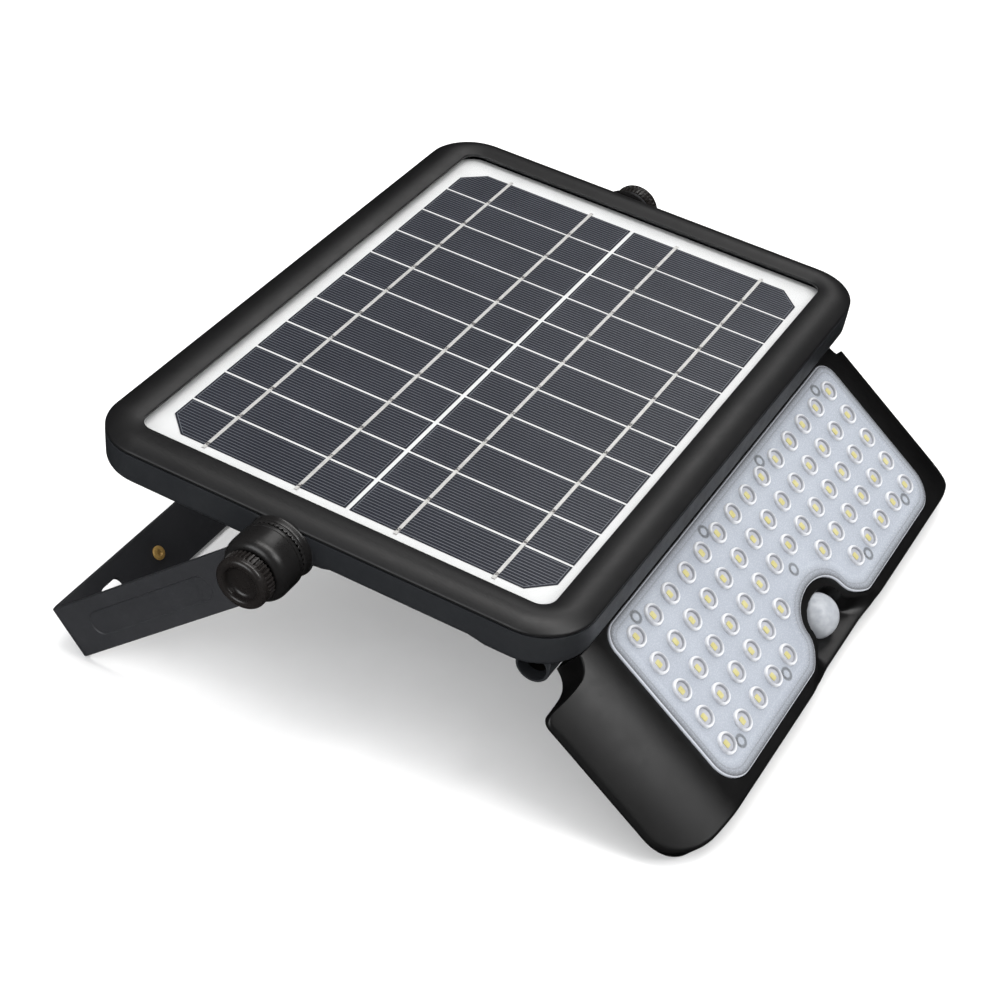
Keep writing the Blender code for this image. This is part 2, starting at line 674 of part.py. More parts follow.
def make_head_shell(head):
    wing = wing_points(0.0)
    top = wing + [(HEAD_HALF_X, HEAD_BOTTOM)]
    section = top + [(-x, z) for x, z in reversed(top)]
    shell = prism("head_shell", section, -HEAD_BACK, -HEAD_FRONT, "Y")
    keep(shell, prism("outline", head_outline(0.0), -20.0, 20.0))
    inner = [(x, z) for x, z in wing_points(3.6) if x < 124.0 and z > -5.2]
    inner += [(128.3, -5.2), (128.3, -12.0)]
    section = inner + [(-x, z) for x, z in reversed(inner)]
    pocket = prism("pocket", section, -HEAD_BACK + 1.0, -HEAD_FRONT - 1.0, "Y")
    keep(pocket, prism("outline", head_outline(2.5), -20.0, 20.0))
    cut(shell, pocket)
    add(shell, turned("barrel", [(BARREL_RADIUS, -BARREL_HALF_X), (BARREL_RADIUS, BARREL_HALF_X)], 18, "X"))
    neck = [(0.0, -5.8), (0.0, 4.0), (-HEAD_BACK - 1.0, 4.0), (-HEAD_BACK - 1.0, -5.8)]
    half = BARREL_HALF_X - 3.2
    add(shell, prism("neck", neck, -half, half, "X"))
    finish_head_shell(shell)
    return place(shell, head, HEAD_PLASTIC)


def finish_head_shell(shell):
    for x, s in HEAD_SCREWS:
        add(shell, turned("post", [(3.0, -5.4), (3.0, 5.0)], 8, "Z", (x, -s)))
        cut(shell, turned("bore", [(1.4, -7.0), (1.4, 1.5)], 8, "Z", (x, -s)))
    for side in (-1, 1):
        bore = [(PIN_RADIUS + 0.3, 96.0 * side), (PIN_RADIUS + 0.3, 115.0 * side)]
        cut(shell, turned("bore", bore, 12, "X"))
    cut(shell, prism("window", lens_outline(2.6), 0.0, 12.0))
    cut(shell, prism("rebate", lens_outline(-GAP), 5.2, 12.0))
    add_sensor_scoop(shell)


def add_sensor_scoop(shell):
    """The hollow in front of the lens cover's notch, which the sensor's dome stands in."""
    half = notch_side(-0.8)
    outline = half + [(-x, y) for x, y in reversed(half)]
    add(shell, prism("scoop_floor", outline, -4.5, 6.0))
    well = [(SENSOR_RADIUS + 0.4, -9.0), (SENSOR_RADIUS + 0.4, SCOOP_FLOOR)]
    well += [(SENSOR_RADIUS + 2.2, HEAD_TOP + 0.2), (SENSOR_RADIUS + 2.2, 12.0)]
    cut(shell, turned("well", well, 20, "Z", (0.0, -SENSOR_S)))
    ramp = [(-SENSOR_S, SCOOP_FLOOR), (-SENSOR_S - 6.0, SCOOP_FLOOR), (-92.0, 6.0)]
    ramp += [(-92.0, 14.0), (-SENSOR_S, 14.0)]
    cut(shell, prism("ramp", ramp, -12.0, 12.0, "X"))


def lamp_spots():
    """The lamps' places: five lines of fourteen, less the ones where the sensor is."""
    spots = []
    for line in range(5):
        for column in range(-7, 7):
            x = (column + 0.5) * LAMP_PITCH_X
            missing = (line == 3 and abs(x) < 10.0) or (line == 4 and abs(x) < 25.0)
            if not missing:
                spots.append((x, -LAMP_LINE_ONE - line * LAMP_PITCH_S))
    return spots


def make_lens_cover(head):
    cover = prism("lens_cover", lens_outline(0.0), LENS_BOTTOM, LENS_TOP)
    domes = []
    for spot in lamp_spots():
        top = LENS_TOP + DOME_HEIGHT
        profile = [(DOME_RADIUS, LENS_TOP - 0.6), (DOME_RADIUS, LENS_TOP), (DOME_RADIUS * 0.66, top)]
        domes.append(turned("dome", profile, 6, "Z", spot))
    add(cover, joined("domes", domes))
    return place(cover, head, LENS_CLEAR)


def make_lens_gasket(head):
    rings = []
    for inset, z in ((0.2, 5.5), (0.2, 5.9), (2.2, 5.9), (2.2, 5.5)):
        rings.append([(x, y, z) for x, y in lens_outline(inset)])
    return place(ring_stack("lens_gasket", rings, closed=True), head, DARK_RUBBER)


def make_led_board(head):
    right = [(97.5, -13.2), (97.5, -78.4), (34.0, -78.4), (27.5, -71.0), (27.5, -65.0), (14.5, -65.0)]
    right.append((14.5, -56.0))
    outline = right + [(-x, y) for x, y in reversed(right)]
    board = prism("led_board", outline, BOARD_TOP - BOARD_THICKNESS, BOARD_TOP)
    lamps = []
    for x, y in lamp_spots():
        lamps.append(block("lamp", (x - 1.6, y - 1.4, BOARD_TOP - 0.4), (x + 1.6, y + 1.4, BOARD_TOP + 0.8)))
    add(board, joined("lamps", lamps))
    holes = [turned("hole", [(1.6, -3.0), (1.6, 6.0)], 6, "Z", (x, -s)) for x, s in BOARD_SCREWS]
    cut(board, joined("holes", holes))
    place(board, head, BOARD_WHITE)
    for number, (x, s) in enumerate(BOARD_SCREWS, start=1):
        screw("board_screw_%d" % number, head, (x, -s, BOARD_TOP + GAP), (180, 0, 0), 2.5, 1.0, 5.0)


def make_motion_sensor(head):
    outer = []
    for i in range(6):
        angle = math.radians(82.0 - 82.0 * i / 5.0)
        outer.append((SENSOR_RADIUS * math.cos(angle), SENSOR_RADIUS * math.sin(angle)))
    inner = [(0.87 * r, 0.87 * z) for r, z in reversed(outer)]
    profile = outer + [(SENSOR_RADIUS, -3.2), (0.87 * SENSOR_RADIUS, -3.2)] + inner
    place(turned("pir_dome", profile, 16), head, FROSTED, (0.0, -SENSOR_S, SENSOR_BASE))
    can = turned("pir_sensor", [(6.0, 0.0), (6.0, 1.0), (4.6, 1.0), (4.6, 6.2)], 12)
    place(can, head, STEEL, (0.0, -SENSOR_S, -3.6))


def make_head_back_cover(head):
    cover = prism("head_back_cover", cover_outline(), HEAD_BOTTOM, HEAD_BOTTOM + 2.0)
    for x, s in BOARD_SCREWS:
        add(cover, turned("boss", [(3.0, HEAD_BOTTOM + 1.0), (3.0, 1.1)], 8, "Z", (x, -s)))
        cut(cover, turned("bore", [(1.4, -3.5), (1.4, 4.0)], 6, "Z", (x, -s)))
    seats = []
    for x, s in HEAD_SCREWS:
        seats.append(turned("seat", [(2.9, -9.0), (2.9, -6.7), (1.5, -6.7), (1.5, -4.0)], 8, "Z", (x, -s)))
    cut(cover, joined("seats", seats))
    place(cover, head, HEAD_PLASTIC)
    for number, (x, s) in enumerate(HEAD_SCREWS, start=1):
        screw("head_screw_%d" % number, head, (x, -s, -7.0), (0, 0, 0), 2.5, 0.7, 7.5)


def cover_outline():
    inset = 2.5 + GAP
    limit = 128.0
    return [(max(-limit, min(limit, x)), y) for x, y in head_outline(inset)]


# Standing the lamp on its bracket and its lamp head.


def side_points(lamp):
    inverse = lamp.matrix_world.inverted()
    points = []
    for obj in bpy.data.objects:
        if obj.type == "MESH":
            matrix = inverse @ obj.matrix_world
            points += [(matrix @ vertex.co)[1:] for vertex in obj.data.vertices]
    return sorted((round(y, 7), round(z, 7)) for y, z in points)


def resting_tilt(lamp):
    """The angle of the lower hull's edge that passes under the panel's centre."""
    hull = []
    for point in side_points(lamp):
        while len(hull) > 1 and below(hull[-2], hull[-1], point):
            hull.pop()
        hull.append(point)
    for (y1, z1), (y2, z2) in zip(hull, hull[1:]):
        if y1 <= 0.0 <= y2:
            return -math.atan2(z2 - z1, y2 - y1)
    return 0.0


def below(a, b, c):
    return (b[0] - a[0]) * (c[1] - a[1]) - (b[1] - a[1]) * (c[0] - a[0]) <= 0.0


def stand_up(lamp):
    bpy.context.view_layer.update()
    lamp.rotation_euler.x = resting_tilt(lamp)
    bpy.context.view_layer.update()
    low = Vector((9.0, 9.0, 9.0))
    high = -low
    for obj in bpy.data.objects:
        if obj.type == "MESH":
            for vertex in obj.data.vertices:
                point = obj.matrix_world @ vertex.co
                low = Vector(map(min, low, point))
                high = Vector(map(max, high, point))
    lamp.location = -Vector(((low.x + high.x) / 2.0, (low.y + high.y) / 2.0, low.z))
    bpy.context.view_layer.update()


def build():
    clear_scene()
    lamp = pivot_empty("lamp_frame", None, (0.0, 0.0, 0.0), 0.0)
    bracket = pivot_empty("bracket_pivot", lamp, (0.0, PIVOT_Y, PIVOT_Z), BRACKET_ANGLE)
    head = pivot_empty("head_pivot", lamp, (0.0, HINGE_Y, HINGE_Z), HEAD_ANGLE)
    make_back_housing(lamp)
    make_front_bezel(lamp)
    make_bezel_gasket(lamp)
    make_panel_sheets(lamp)
    make_battery(lamp)
    make_charge_board(lamp)
    make_switch(lamp)
    make_battery_cover(lamp)
    make_housing_screws(lamp)
    make_bracket(bracket)
    for side in (-1, 1):
        make_cell_string(lamp, side)
        make_pivot_hardware(lamp, side)
        make_hinge_pin(lamp, side)
        make_web_insert(bracket, side)
        make_pivot_cup(bracket, side)
        make_knob(bracket, side)
    make_head_shell(head)
    make_lens_cover(head)
    make_lens_gasket(head)
    make_led_board(head)
    make_motion_sensor(head)
    make_head_back_cover(head)
    stand_up(lamp)


build()
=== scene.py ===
"""Looks of a solar flood light: a panel housing on a U bracket, with a hinged lamp head."""

import json
import math

import bmesh
import bpy
import numpy as np
from mathutils import Matrix, Vector


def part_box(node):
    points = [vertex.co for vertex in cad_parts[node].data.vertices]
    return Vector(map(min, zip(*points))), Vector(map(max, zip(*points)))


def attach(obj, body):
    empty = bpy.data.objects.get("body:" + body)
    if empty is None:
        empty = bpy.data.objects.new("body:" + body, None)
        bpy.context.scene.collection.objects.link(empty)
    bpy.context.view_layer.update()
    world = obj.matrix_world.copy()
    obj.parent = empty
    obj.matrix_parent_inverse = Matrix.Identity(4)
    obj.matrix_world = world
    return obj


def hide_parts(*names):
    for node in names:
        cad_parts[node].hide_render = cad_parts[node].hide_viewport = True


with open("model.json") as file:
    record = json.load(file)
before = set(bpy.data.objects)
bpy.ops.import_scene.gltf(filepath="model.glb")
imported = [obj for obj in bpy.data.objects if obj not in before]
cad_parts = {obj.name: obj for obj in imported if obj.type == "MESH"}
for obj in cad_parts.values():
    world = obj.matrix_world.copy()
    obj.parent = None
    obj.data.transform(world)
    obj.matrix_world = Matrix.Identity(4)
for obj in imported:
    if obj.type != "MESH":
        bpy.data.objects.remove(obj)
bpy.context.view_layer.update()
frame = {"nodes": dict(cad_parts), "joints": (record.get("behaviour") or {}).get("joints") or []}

MM = 0.001
JOINTS = {joint["name"]: joint for joint in frame["joints"]}
GLASS_CENTRE_Z = 1.175
BRACKET_ANGLE = -42.6
HEAD_ANGLE = 35.485

# Panel housing, in millimetres, in the panel's frame.
PANEL_X, PANEL_Y, PANEL_CORNER = 135.0, 98.0, 21.0
OPENING_X, OPENING_Y, OPENING_CORNER = 121.4, 83.5, 6.0
CROWN = 4.8
GLASS_X, GLASS_Y = 124.0, 86.0
CELL_PITCH, CELL_WIDTH, CELL_ROWS = 20.76, 19.5, 11
CELL_INNER, CELL_OUTER, CELL_CHAMFER = 0.84, 78.85, 8.6
FINGER_PITCH, FINGERS, PRINT_INSET = 1.5, 13, 0.8
RIBBON_Y = (20.3, 59.3)
PIVOT = (13.0, -9.0)
HINGE = (-84.0, -17.0)
HOUSING_SCREWS = [(-127.6, -60.0), (127.6, -60.0), (127.6, 64.0), (-127.6, 64.0)]
COVER_SCREWS = [(-74.6, -34.0), (74.6, -34.0), (74.6, 34.0), (-74.6, 34.0)]
BUTTON = (62.0, -60.0)

# Bracket and knobs, in the bracket's frame: x along the pivots, y down the arms.
LEFT_ARM_X, RIGHT_ARM_X, STRIP, HALF_WIDTH, WEB, BEND = 150.5, 139.9, 2.5, 10.6, 111.8, 6.0
WEB_CENTRE, SLOT_REACH, INSERT_REACH = -5.3, 115.9, 87.7
SLOT_LENGTH, SLOT_HEIGHT = 13.6, 8.0
RECESS_LENGTH, RECESS_HEIGHT, RECESS_CENTRE, RECESS_DEPTH = 68.0, 9.4, 59.0, 0.32
DETENT_TEETH, DETENT_SIDES, SEAT_GAP = 40, 320, 0.3
KNOB_RIBS, RIGHT_KNOB_INSET = 36, 12.0

# Lamp head, in its hinge's frame: s runs down the slope (-y) and t is the normal (z).
HEAD_TOP, HEAD_BOTTOM, WING_EDGE = 7.2, -7.8, -6.0
HEAD_X, HEAD_FLAT_X, HEAD_FRONT, HEAD_BACK = 135.0, 104.0, 87.3, 9.0
NECK_X, WING_BACK, HEAD_CORNER, NOTCH_MOUTH = 113.5, 20.1, 17.0, 36.0
LENS_X, LENS_BACK, LENS_FRONT = 101.4, 9.7, 82.1
LENS_REAR_CORNER, LENS_FRONT_CORNER = 8.0, 12.5
LENS_TOP = 8.2
SENSOR_S, SENSOR_BASE, SENSOR_RADIUS = 72.3, 1.8, 9.0
SCOOP_FLOOR = 0.8
LEDGE = 3.8
LAMP_PITCH_X, LAMP_PITCH_S, LAMP_LINE_ONE = 13.75, 12.42, 19.7
HEAD_SCREWS = [(-103.0, -24.0), (103.0, -24.0), (103.0, -76.0), (-103.0, -76.0)]
BOARD_SCREWS = [(-83.0, -15.3), (-26.0, -15.3), (26.0, -15.3), (83.0, -15.3), (0.0, -52.1)]
BOARD_SCREWS += [(-83.0, -73.3), (-41.5, -73.3), (41.5, -73.3), (83.0, -73.3)]


def place_frames():
    """The panel's, the bracket's and the lamp head's own frames."""
    normal = Vector(JOINTS["button_press"]["axis"])
    tilt = math.atan2(-normal.y, normal.z)
    low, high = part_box("panel_glass")
    origin = (low + high) / 2.0 - normal * GLASS_CENTRE_Z * MM
    frames = [Matrix.Translation(origin) @ Matrix.Rotation(tilt, 4, "X")]
    for joint, angle in (("bracket_tilt", BRACKET_ANGLE), ("head_tilt", HEAD_ANGLE)):
        turn = Matrix.Rotation(tilt + math.radians(angle), 4, "X")
        frames.append(Matrix.Translation(Vector(JOINTS[joint]["pos_m"])) @ turn)
    return frames


PANEL, BRACKET, HEAD = place_frames()


# Materials.


def node(tree, kind, values=None, **settings):
    made = tree.nodes.new(kind)
    for key, value in settings.items():
        setattr(made, key, value)
    for key, value in (values or {}).items():
        if isinstance(value, bpy.types.NodeSocket):
            tree.links.new(value, made.inputs[key])
        else:
            made.inputs[key].default_value = value
    return made


def math_node(tree, operation, a, b=0.0):
    return node(tree, "ShaderNodeMath", {0: a, 1: b}, operation=operation).outputs[0]


def spread(tree, value, low, high, new_low, new_high):
    values = {"Value": value, "From Min": low, "From Max": high, "To Min": new_low, "To Max": new_high}
    return node(tree, "ShaderNodeMapRange", values).outputs["Result"]


def vary(tree, texture, low=0.0, high=1.0):
    """A noise texture's usual range stretched to low..high."""
    return spread(tree, texture, 0.3, 0.7, low, high)


def mix(tree, factor, a, b):
    made = node(tree, "ShaderNodeMix", data_type="RGBA")
    for index, value in ((0, factor), (6, a), (7, b)):
        if isinstance(value, bpy.types.NodeSocket):
            tree.links.new(value, made.inputs[index])
        else:
            made.inputs[index].default_value = value if index == 0 else (*value, 1.0)
    return made.outputs[2]


def noise(tree, place, scale, detail=3.0, roughness=0.55):
    values = {"Vector": place, "Scale": scale, "Detail": detail, "Roughness": roughness}
    return node(tree, "ShaderNodeTexNoise", values).outputs["Fac"]


def start(name):
    material = bpy.data.materials.new(name)
    material.use_nodes = True
    tree = material.node_tree
    shader = tree.nodes["Principled BSDF"]
    place = node(tree, "ShaderNodeTexCoord").outputs["Object"]
    return material, tree, shader, place


def settle(shader, values):
    for key, value in values.items():
        shader.inputs[key].default_value = value


def dress(tree, shader, colour, rough, height, strength, depth):
    """Links colour, roughness and a bump of the given strength and depth to the shader."""
    tree.links.new(colour, shader.inputs["Base Color"])
    tree.links.new(rough, shader.inputs["Roughness"])
    bumped = node(tree, "ShaderNodeBump", {"Strength": strength, "Distance": depth, "Height": height})
    tree.links.new(bumped.outputs[0], shader.inputs["Normal"])


def moulded(name, dark, light, rough, grain=2600.0, bump=0.25, depth=0.00004, wear=0.25, speck=0.35):
    """Moulded or coated matter: mottled colour, fine grain in bump and gloss, and rubbed edges."""
    material, tree, shader, place = start(name)
    cloud = noise(tree, place, 38.0, 4.0)
    fine = noise(tree, place, grain, 2.0, 0.6)
    smear = noise(tree, place, 140.0, 5.0, 0.65)
    colour = mix(tree, vary(tree, cloud), dark, light)
    bright = tuple(min(1.0, c * 2.0 + 0.006) for c in light)
    colour = mix(tree, spread(tree, fine, 0.55, 0.8, 0.0, speck), colour, bright)
    edge = node(tree, "ShaderNodeNewGeometry").outputs["Pointiness"]
    rubbed = math_node(tree, "MULTIPLY", spread(tree, edge, 0.53, 0.6, 0.0, wear), smear)
    colour = mix(tree, rubbed, colour, tuple(min(1.0, c * 2.5 + 0.03) for c in light))
    gloss = math_node(tree, "ADD", vary(tree, smear, *rough), vary(tree, fine, -0.05, 0.05))
    height = math_node(tree, "ADD", fine, math_node(tree, "MULTIPLY", smear, 0.4))
    dress(tree, shader, colour, gloss, height, bump, depth)
    return material


def metal(name, dark, light, rough=(0.22, 0.4), metallic=1.0):
    """Turned or plated metal with a mottle, a fine grain and painted shade in its hollows."""
    material, tree, shader, place = start(name)
    cloud = noise(tree, place, 160.0, 4.0)
    fine = noise(tree, place, 1500.0, 3.0)
    colour = mix(tree, vary(tree, cloud), dark, light)
    edge = node(tree, "ShaderNodeNewGeometry").outputs["Pointiness"]
    # Painted shade: darker where the surface is concave.
    colour = mix(tree, spread(tree, edge, 0.4, 0.5, 0.5, 0.0), colour, tuple(c * 0.35 for c in dark))
    dress(tree, shader, colour, vary(tree, fine, *rough), fine, 0.2, 0.00003)
    settle(shader, {"Metallic": metallic})
    return material


def cell_material():
    """Dark blue silicon with a faint mottle, under a smooth skin."""
    material, tree, shader, place = start("silicon_cells")
    cloud = noise(tree, place, 26.0, 3.0)
    fine = noise(tree, place, 1400.0, 2.0)
    colour = mix(tree, vary(tree, cloud), (0.0115, 0.0122, 0.0172), (0.0155, 0.0163, 0.0222))
    colour = mix(tree, spread(tree, fine, 0.5, 0.8, 0.0, 0.4), colour, (0.023, 0.024, 0.032))
    dress(tree, shader, colour, vary(tree, fine, 0.3, 0.42), fine, 0.15, 0.00002)
    settle(shader, {"Specular IOR Level": 0.12})
    return material


def ribbon_material():
    """Tinned ribbon, darker in short patches beside the gap between one cell and the next."""
    material, tree, shader, place = start("tinned_ribbon")
    across = node(tree, "ShaderNodeSeparateXYZ", {"Vector": place}).outputs[0]
    half = (CELL_WIDTH / 2.0 - 0.1) * MM
    along = math_node(tree, "DIVIDE", math_node(tree, "ADD", across, half), CELL_PITCH * MM)
    part = math_node(tree, "FRACT", math_node(tree, "ADD", along, 20.0))
    # Darker short patches beside each gap between cells.
    near = math_node(tree, "LESS_THAN", part, 0.085)
    fine = noise(tree, place, 2300.0, 2.0)
    patch = math_node(tree, "MULTIPLY", near, spread(tree, fine, 0.42, 0.52, 0.0, 1.0))
    drawn = node(tree, "ShaderNodeMapping", {"Vector": place, "Scale": (0.15, 1.0, 1.0)}).outputs[0]
    scratch = noise(tree, drawn, 2600.0, 3.0)
    colour = mix(tree, vary(tree, scratch), (0.40, 0.39, 0.37), (0.60, 0.58, 0.56))
    colour = mix(tree, patch, colour, (0.07, 0.065, 0.06))
    dress(tree, shader, colour, vary(tree, scratch, 0.35, 0.55), scratch, 0.4, 0.00003)
    settle(shader, {"Metallic": 0.35})
    return material


def pane_material():
    """A clear sheet: see-through, with a faint satin sheen that grows at shallow angles."""
    material, tree, shader, place = start("clear_pane")
    tree.nodes.remove(shader)
    facing = node(tree, "ShaderNodeLayerWeight", {"Blend": 0.5}).outputs["Facing"]
    grow = math_node(tree, "POWER", facing, 4.0)
    factor = spread(tree, grow, 0.0, 1.0, 0.001, 0.06)
    fine = noise(tree, place, 900.0, 2.0)
    rough = vary(tree, fine, 0.16, 0.24)
    clear = node(tree, "ShaderNodeBsdfTransparent", {"Color": (0.985, 0.99, 0.995, 1.0)})
    gloss = node(tree, "ShaderNodeBsdfAnisotropic", {"Color": (1.0, 1.0, 1.0, 1.0), "Roughness": rough})
    both = node(tree, "ShaderNodeMixShader", {0: factor, 1: clear.outputs[0], 2: gloss.outputs[0]})
    tree.links.new(both.outputs[0], tree.nodes["Material Output"].inputs["Surface"])
    return material


def lens_plate_material():
    """Milky polycarbonate that lets a little of what is below show, greyer towards its rim by painted shade,
    with a painted highlight along its edge and a painted shade line in its groove.
    """
    material, tree, shader, place = start("milky_plate")
    rim = node(tree, "ShaderNodeAttribute", attribute_name="rim").outputs["Fac"]
    cloud = noise(tree, place, 30.0, 4.0)
    fine = noise(tree, place, 1800.0, 2.0)
    inner = mix(tree, vary(tree, cloud), (0.42, 0.452, 0.51), (0.465, 0.50, 0.557))
    for x, y in BOARD_SCREWS:
        values = {0: place, 1: (x * MM, y * MM, LENS_TOP * MM)}
        gap = node(tree, "ShaderNodeVectorMath", values, operation="DISTANCE").outputs["Value"]
        ring = math_node(tree, "ABSOLUTE", math_node(tree, "SUBTRACT", gap, 0.0021))
        inner = mix(tree, spread(tree, ring, 0.0003, 0.0009, 0.8, 0.0), inner, (0.10, 0.105, 0.11))
    # Painted shade: darker towards the rim.
    shade = math_node(tree, "POWER", spread(tree, rim, 0.7, 6.5, 0.0, 1.0), 0.7)
    colour = mix(tree, shade, (0.085, 0.088, 0.095), inner)
    # Painted highlight: a thin bright line along the very edge.
    line = spread(tree, rim, 0.25, 0.6, 1.0, 0.0)
    colour = mix(tree, line, colour, (0.42, 0.44, 0.48))
    # Painted shade: a darker line along the groove near the rim.
    groove = math_node(tree, "ABSOLUTE", math_node(tree, "SUBTRACT", rim, 3.1))
    colour = mix(tree, spread(tree, groove, 0.0, 0.45, 0.35, 0.0), colour, (0.12, 0.122, 0.13))
    dress(tree, shader, colour, vary(tree, fine, 0.2, 0.32), fine, 0.08, 0.00003)
    tree.links.new(spread(tree, rim, 2.0, 7.0, 1.0, 0.6), shader.inputs["Alpha"])
    return material


def dome_material():
    """Moulded clear domes with painted light: painted highlights down the slope and up it, greyer on the
    sides, and painted shade inside the ring.
    """
    material, tree, shader, place = start("lens_dome_clear")
    parts = node(tree, "ShaderNodeSeparateXYZ", {"Vector": place})
    steps = []
    firsts = (0.5, -LAMP_LINE_ONE / LAMP_PITCH_S)
    for value, pitch, first in zip(parts.outputs, (LAMP_PITCH_X, LAMP_PITCH_S), firsts):
        share = math_node(tree, "SUBTRACT", math_node(tree, "DIVIDE", value, pitch * MM), first - 20.5)
        share = math_node(tree, "SUBTRACT", math_node(tree, "FRACT", share), 0.5)
        steps.append(math_node(tree, "MULTIPLY", share, pitch))
    squares = [math_node(tree, "MULTIPLY", step, step) for step in steps]
    radius = math_node(tree, "SQRT", math_node(tree, "ADD", squares[0], squares[1]))
    slope = math_node(tree, "DIVIDE", steps[1], radius)
    fine = noise(tree, place, 900.0, 3.0)
    colour = mix(tree, vary(tree, fine), (0.30, 0.31, 0.335), (0.38, 0.39, 0.42))
    # Painted highlights: brighter down the slope and up it, towards the outside of the ring.
    down = spread(tree, slope, -0.95, -0.35, 1.0, 0.0)
    up = spread(tree, slope, 0.45, 0.95, 0.0, 0.75)
    outer = spread(tree, radius, 3.35, 3.9, 0.25, 1.0)
    bright = math_node(tree, "MULTIPLY", math_node(tree, "ADD", down, up), outer)
    colour = mix(tree, bright, colour, (0.66, 0.67, 0.69))
    # Painted shade inside the ring.
    inside = spread(tree, radius, 3.05, 3.35, 0.55, 0.0)
    colour = mix(tree, inside, colour, (0.13, 0.135, 0.15))
    dress(tree, shader, colour, vary(tree, fine, 0.07, 0.14), fine, 0.1, 0.00003)
    return material


def clear_white(name, dark, light, rough, subsurface=0.0):
    """Glossy or frosted moulded matter of one pale colour."""
    material, tree, shader, place = start(name)
    cloud = noise(tree, place, 300.0, 3.0)
    fine = noise(tree, place, 1600.0, 2.0)
    colour = mix(tree, vary(tree, cloud), dark, light)
    dress(tree, shader, colour, vary(tree, fine, *rough), fine, 0.12, 0.00003)
    if subsurface:
        settle(shader, {"Subsurface Weight": subsurface, "Subsurface Radius": (0.002, 0.002, 0.002)})
    return material


MATERIALS = {
    "bezel": moulded("bezel_plastic", (0.0048, 0.0048, 0.0054), (0.0068, 0.0067, 0.0071), (0.42, 0.5),
                     speck=0.3),
    "housing": moulded("housing_plastic", (0.012, 0.0135, 0.016), (0.016, 0.0175, 0.020), (0.42, 0.52)),
    "head": moulded("head_plastic_grain", (0.0025, 0.0024, 0.0026), (0.0038, 0.0036, 0.0038), (0.36, 0.44),
                    speck=0.3, bump=0.35),
    "under": moulded("underside_plastic", (0.010, 0.010, 0.011), (0.015, 0.015, 0.016), (0.45, 0.6), bump=0.5,
                     grain=1500.0, wear=0.0),
    "knob": moulded("knob_plastic", (0.007, 0.006, 0.0056), (0.0125, 0.0105, 0.0098), (0.26, 0.36), wear=0.4),
    "cup": moulded("cup_plastic", (0.006, 0.0057, 0.0057), (0.0105, 0.0099, 0.0099), (0.28, 0.38), wear=0.3),
    "powder": moulded("powder_coat_grain", (0.0185, 0.0192, 0.022), (0.024, 0.0248, 0.028), (0.42, 0.55),
                      grain=1900.0, bump=0.5, depth=0.00006, wear=0.0),
    "rubber": moulded("rubber_grain", (0.007, 0.007, 0.007), (0.011, 0.011, 0.011), (0.65, 0.8), wear=0.1),
    "grey": moulded("grey_plastic_grain", (0.17, 0.17, 0.18), (0.22, 0.22, 0.23), (0.5, 0.62)),
    "wrap": moulded("cell_wrap_film", (0.02, 0.09, 0.20), (0.03, 0.13, 0.27), (0.25, 0.4), grain=900.0),
    "board": moulded("board_lacquer", (0.01, 0.07, 0.025), (0.015, 0.11, 0.04), (0.3, 0.45), grain=700.0),
    "board_white": moulded("white_board_lacquer", (0.62, 0.63, 0.64), (0.70, 0.71, 0.72), (0.4, 0.5),
                           wear=0.0, speck=0.1),
    "backsheet": moulded("backsheet_film", (0.50, 0.495, 0.485), (0.555, 0.55, 0.54), (0.5, 0.6),
                         grain=1200.0, bump=0.1, wear=0.0, speck=0.1),
    "finger": moulded("silver_print", (0.085, 0.09, 0.10), (0.12, 0.125, 0.14), (0.4, 0.5),
                      wear=0.0, speck=0.2),
    "dark_steel": metal("dark_steel", (0.018, 0.015, 0.012), (0.045, 0.038, 0.032), (0.3, 0.45)),
    "steel": metal("zinc_steel", (0.42, 0.42, 0.43), (0.58, 0.58, 0.6)),
    "brass": metal("turned_brass", (0.30, 0.18, 0.05), (0.46, 0.29, 0.09), (0.3, 0.45), metallic=0.35),
    "cells": cell_material(),
    "ribbon": ribbon_material(),
    "pane": pane_material(),
    "plate": lens_plate_material(),
    "dome": dome_material(),
    "window": clear_white("lens_window", (0.30, 0.31, 0.34), (0.40, 0.41, 0.45), (0.08, 0.16)),
    "chip": clear_white("phosphor", (0.40, 0.36, 0.14), (0.46, 0.43, 0.22), (0.25, 0.4)),
    "sensor": clear_white("frosted_dome", (0.27, 0.285, 0.31), (0.36, 0.375, 0.40), (0.28, 0.4), 0.25),
}


# Shapes, in millimetres.


def solid(name, vertices, faces):
    mesh = bpy.data.meshes.new(name)
    mesh.from_pydata((np.asarray(vertices, float) * MM).tolist(), [], faces)
    shape = bmesh.new()
    shape.from_mesh(mesh)
    bmesh.ops.recalc_face_normals(shape, faces=shape.faces)
    shape.to_mesh(mesh)
    shape.free()
    obj = bpy.data.objects.new(name, mesh)
    bpy.context.scene.collection.objects.link(obj)
    return obj


def skin(name, rings, closed=False):
    """A solid skinned over rings of equal length: capped, or closed on itself."""
    count = len(rings[0])
    vertices = [point for ring in rings for point in ring]
    faces = []
    for level in range(len(rings) if closed else len(rings) - 1):
        low = level * count
        high = (level + 1) % len(rings) * count
        faces += [(low + i, low + (i + 1) % count, high + (i + 1) % count, high + i) for i in range(count)]
    if not closed:
        faces.append(tuple(reversed(range(count))))
        faces.append(tuple(range((len(rings) - 1) * count, len(rings) * count)))
    return solid(name, vertices, faces)


def on_axis(axis, a, b, height):
    if axis == "X":
        return (height, a, b)
    if axis == "Y":
        return (a, height, b)
    return (a, b, height)


def prism(name, outline, low, high, axis="Z", edge=0.0):
    """A prism; with an edge, its two rims are chamfered by that much towards the centre."""
    if not edge:
        return skin(name, [[on_axis(axis, a, b, h) for a, b in outline] for h in (low, high)])
    small = shrink(outline, edge)
    levels = ((small, low), (outline, low + edge), (outline, high - edge), (small, high))
    return skin(name, [[on_axis(axis, a, b, h) for a, b in line] for line, h in levels])


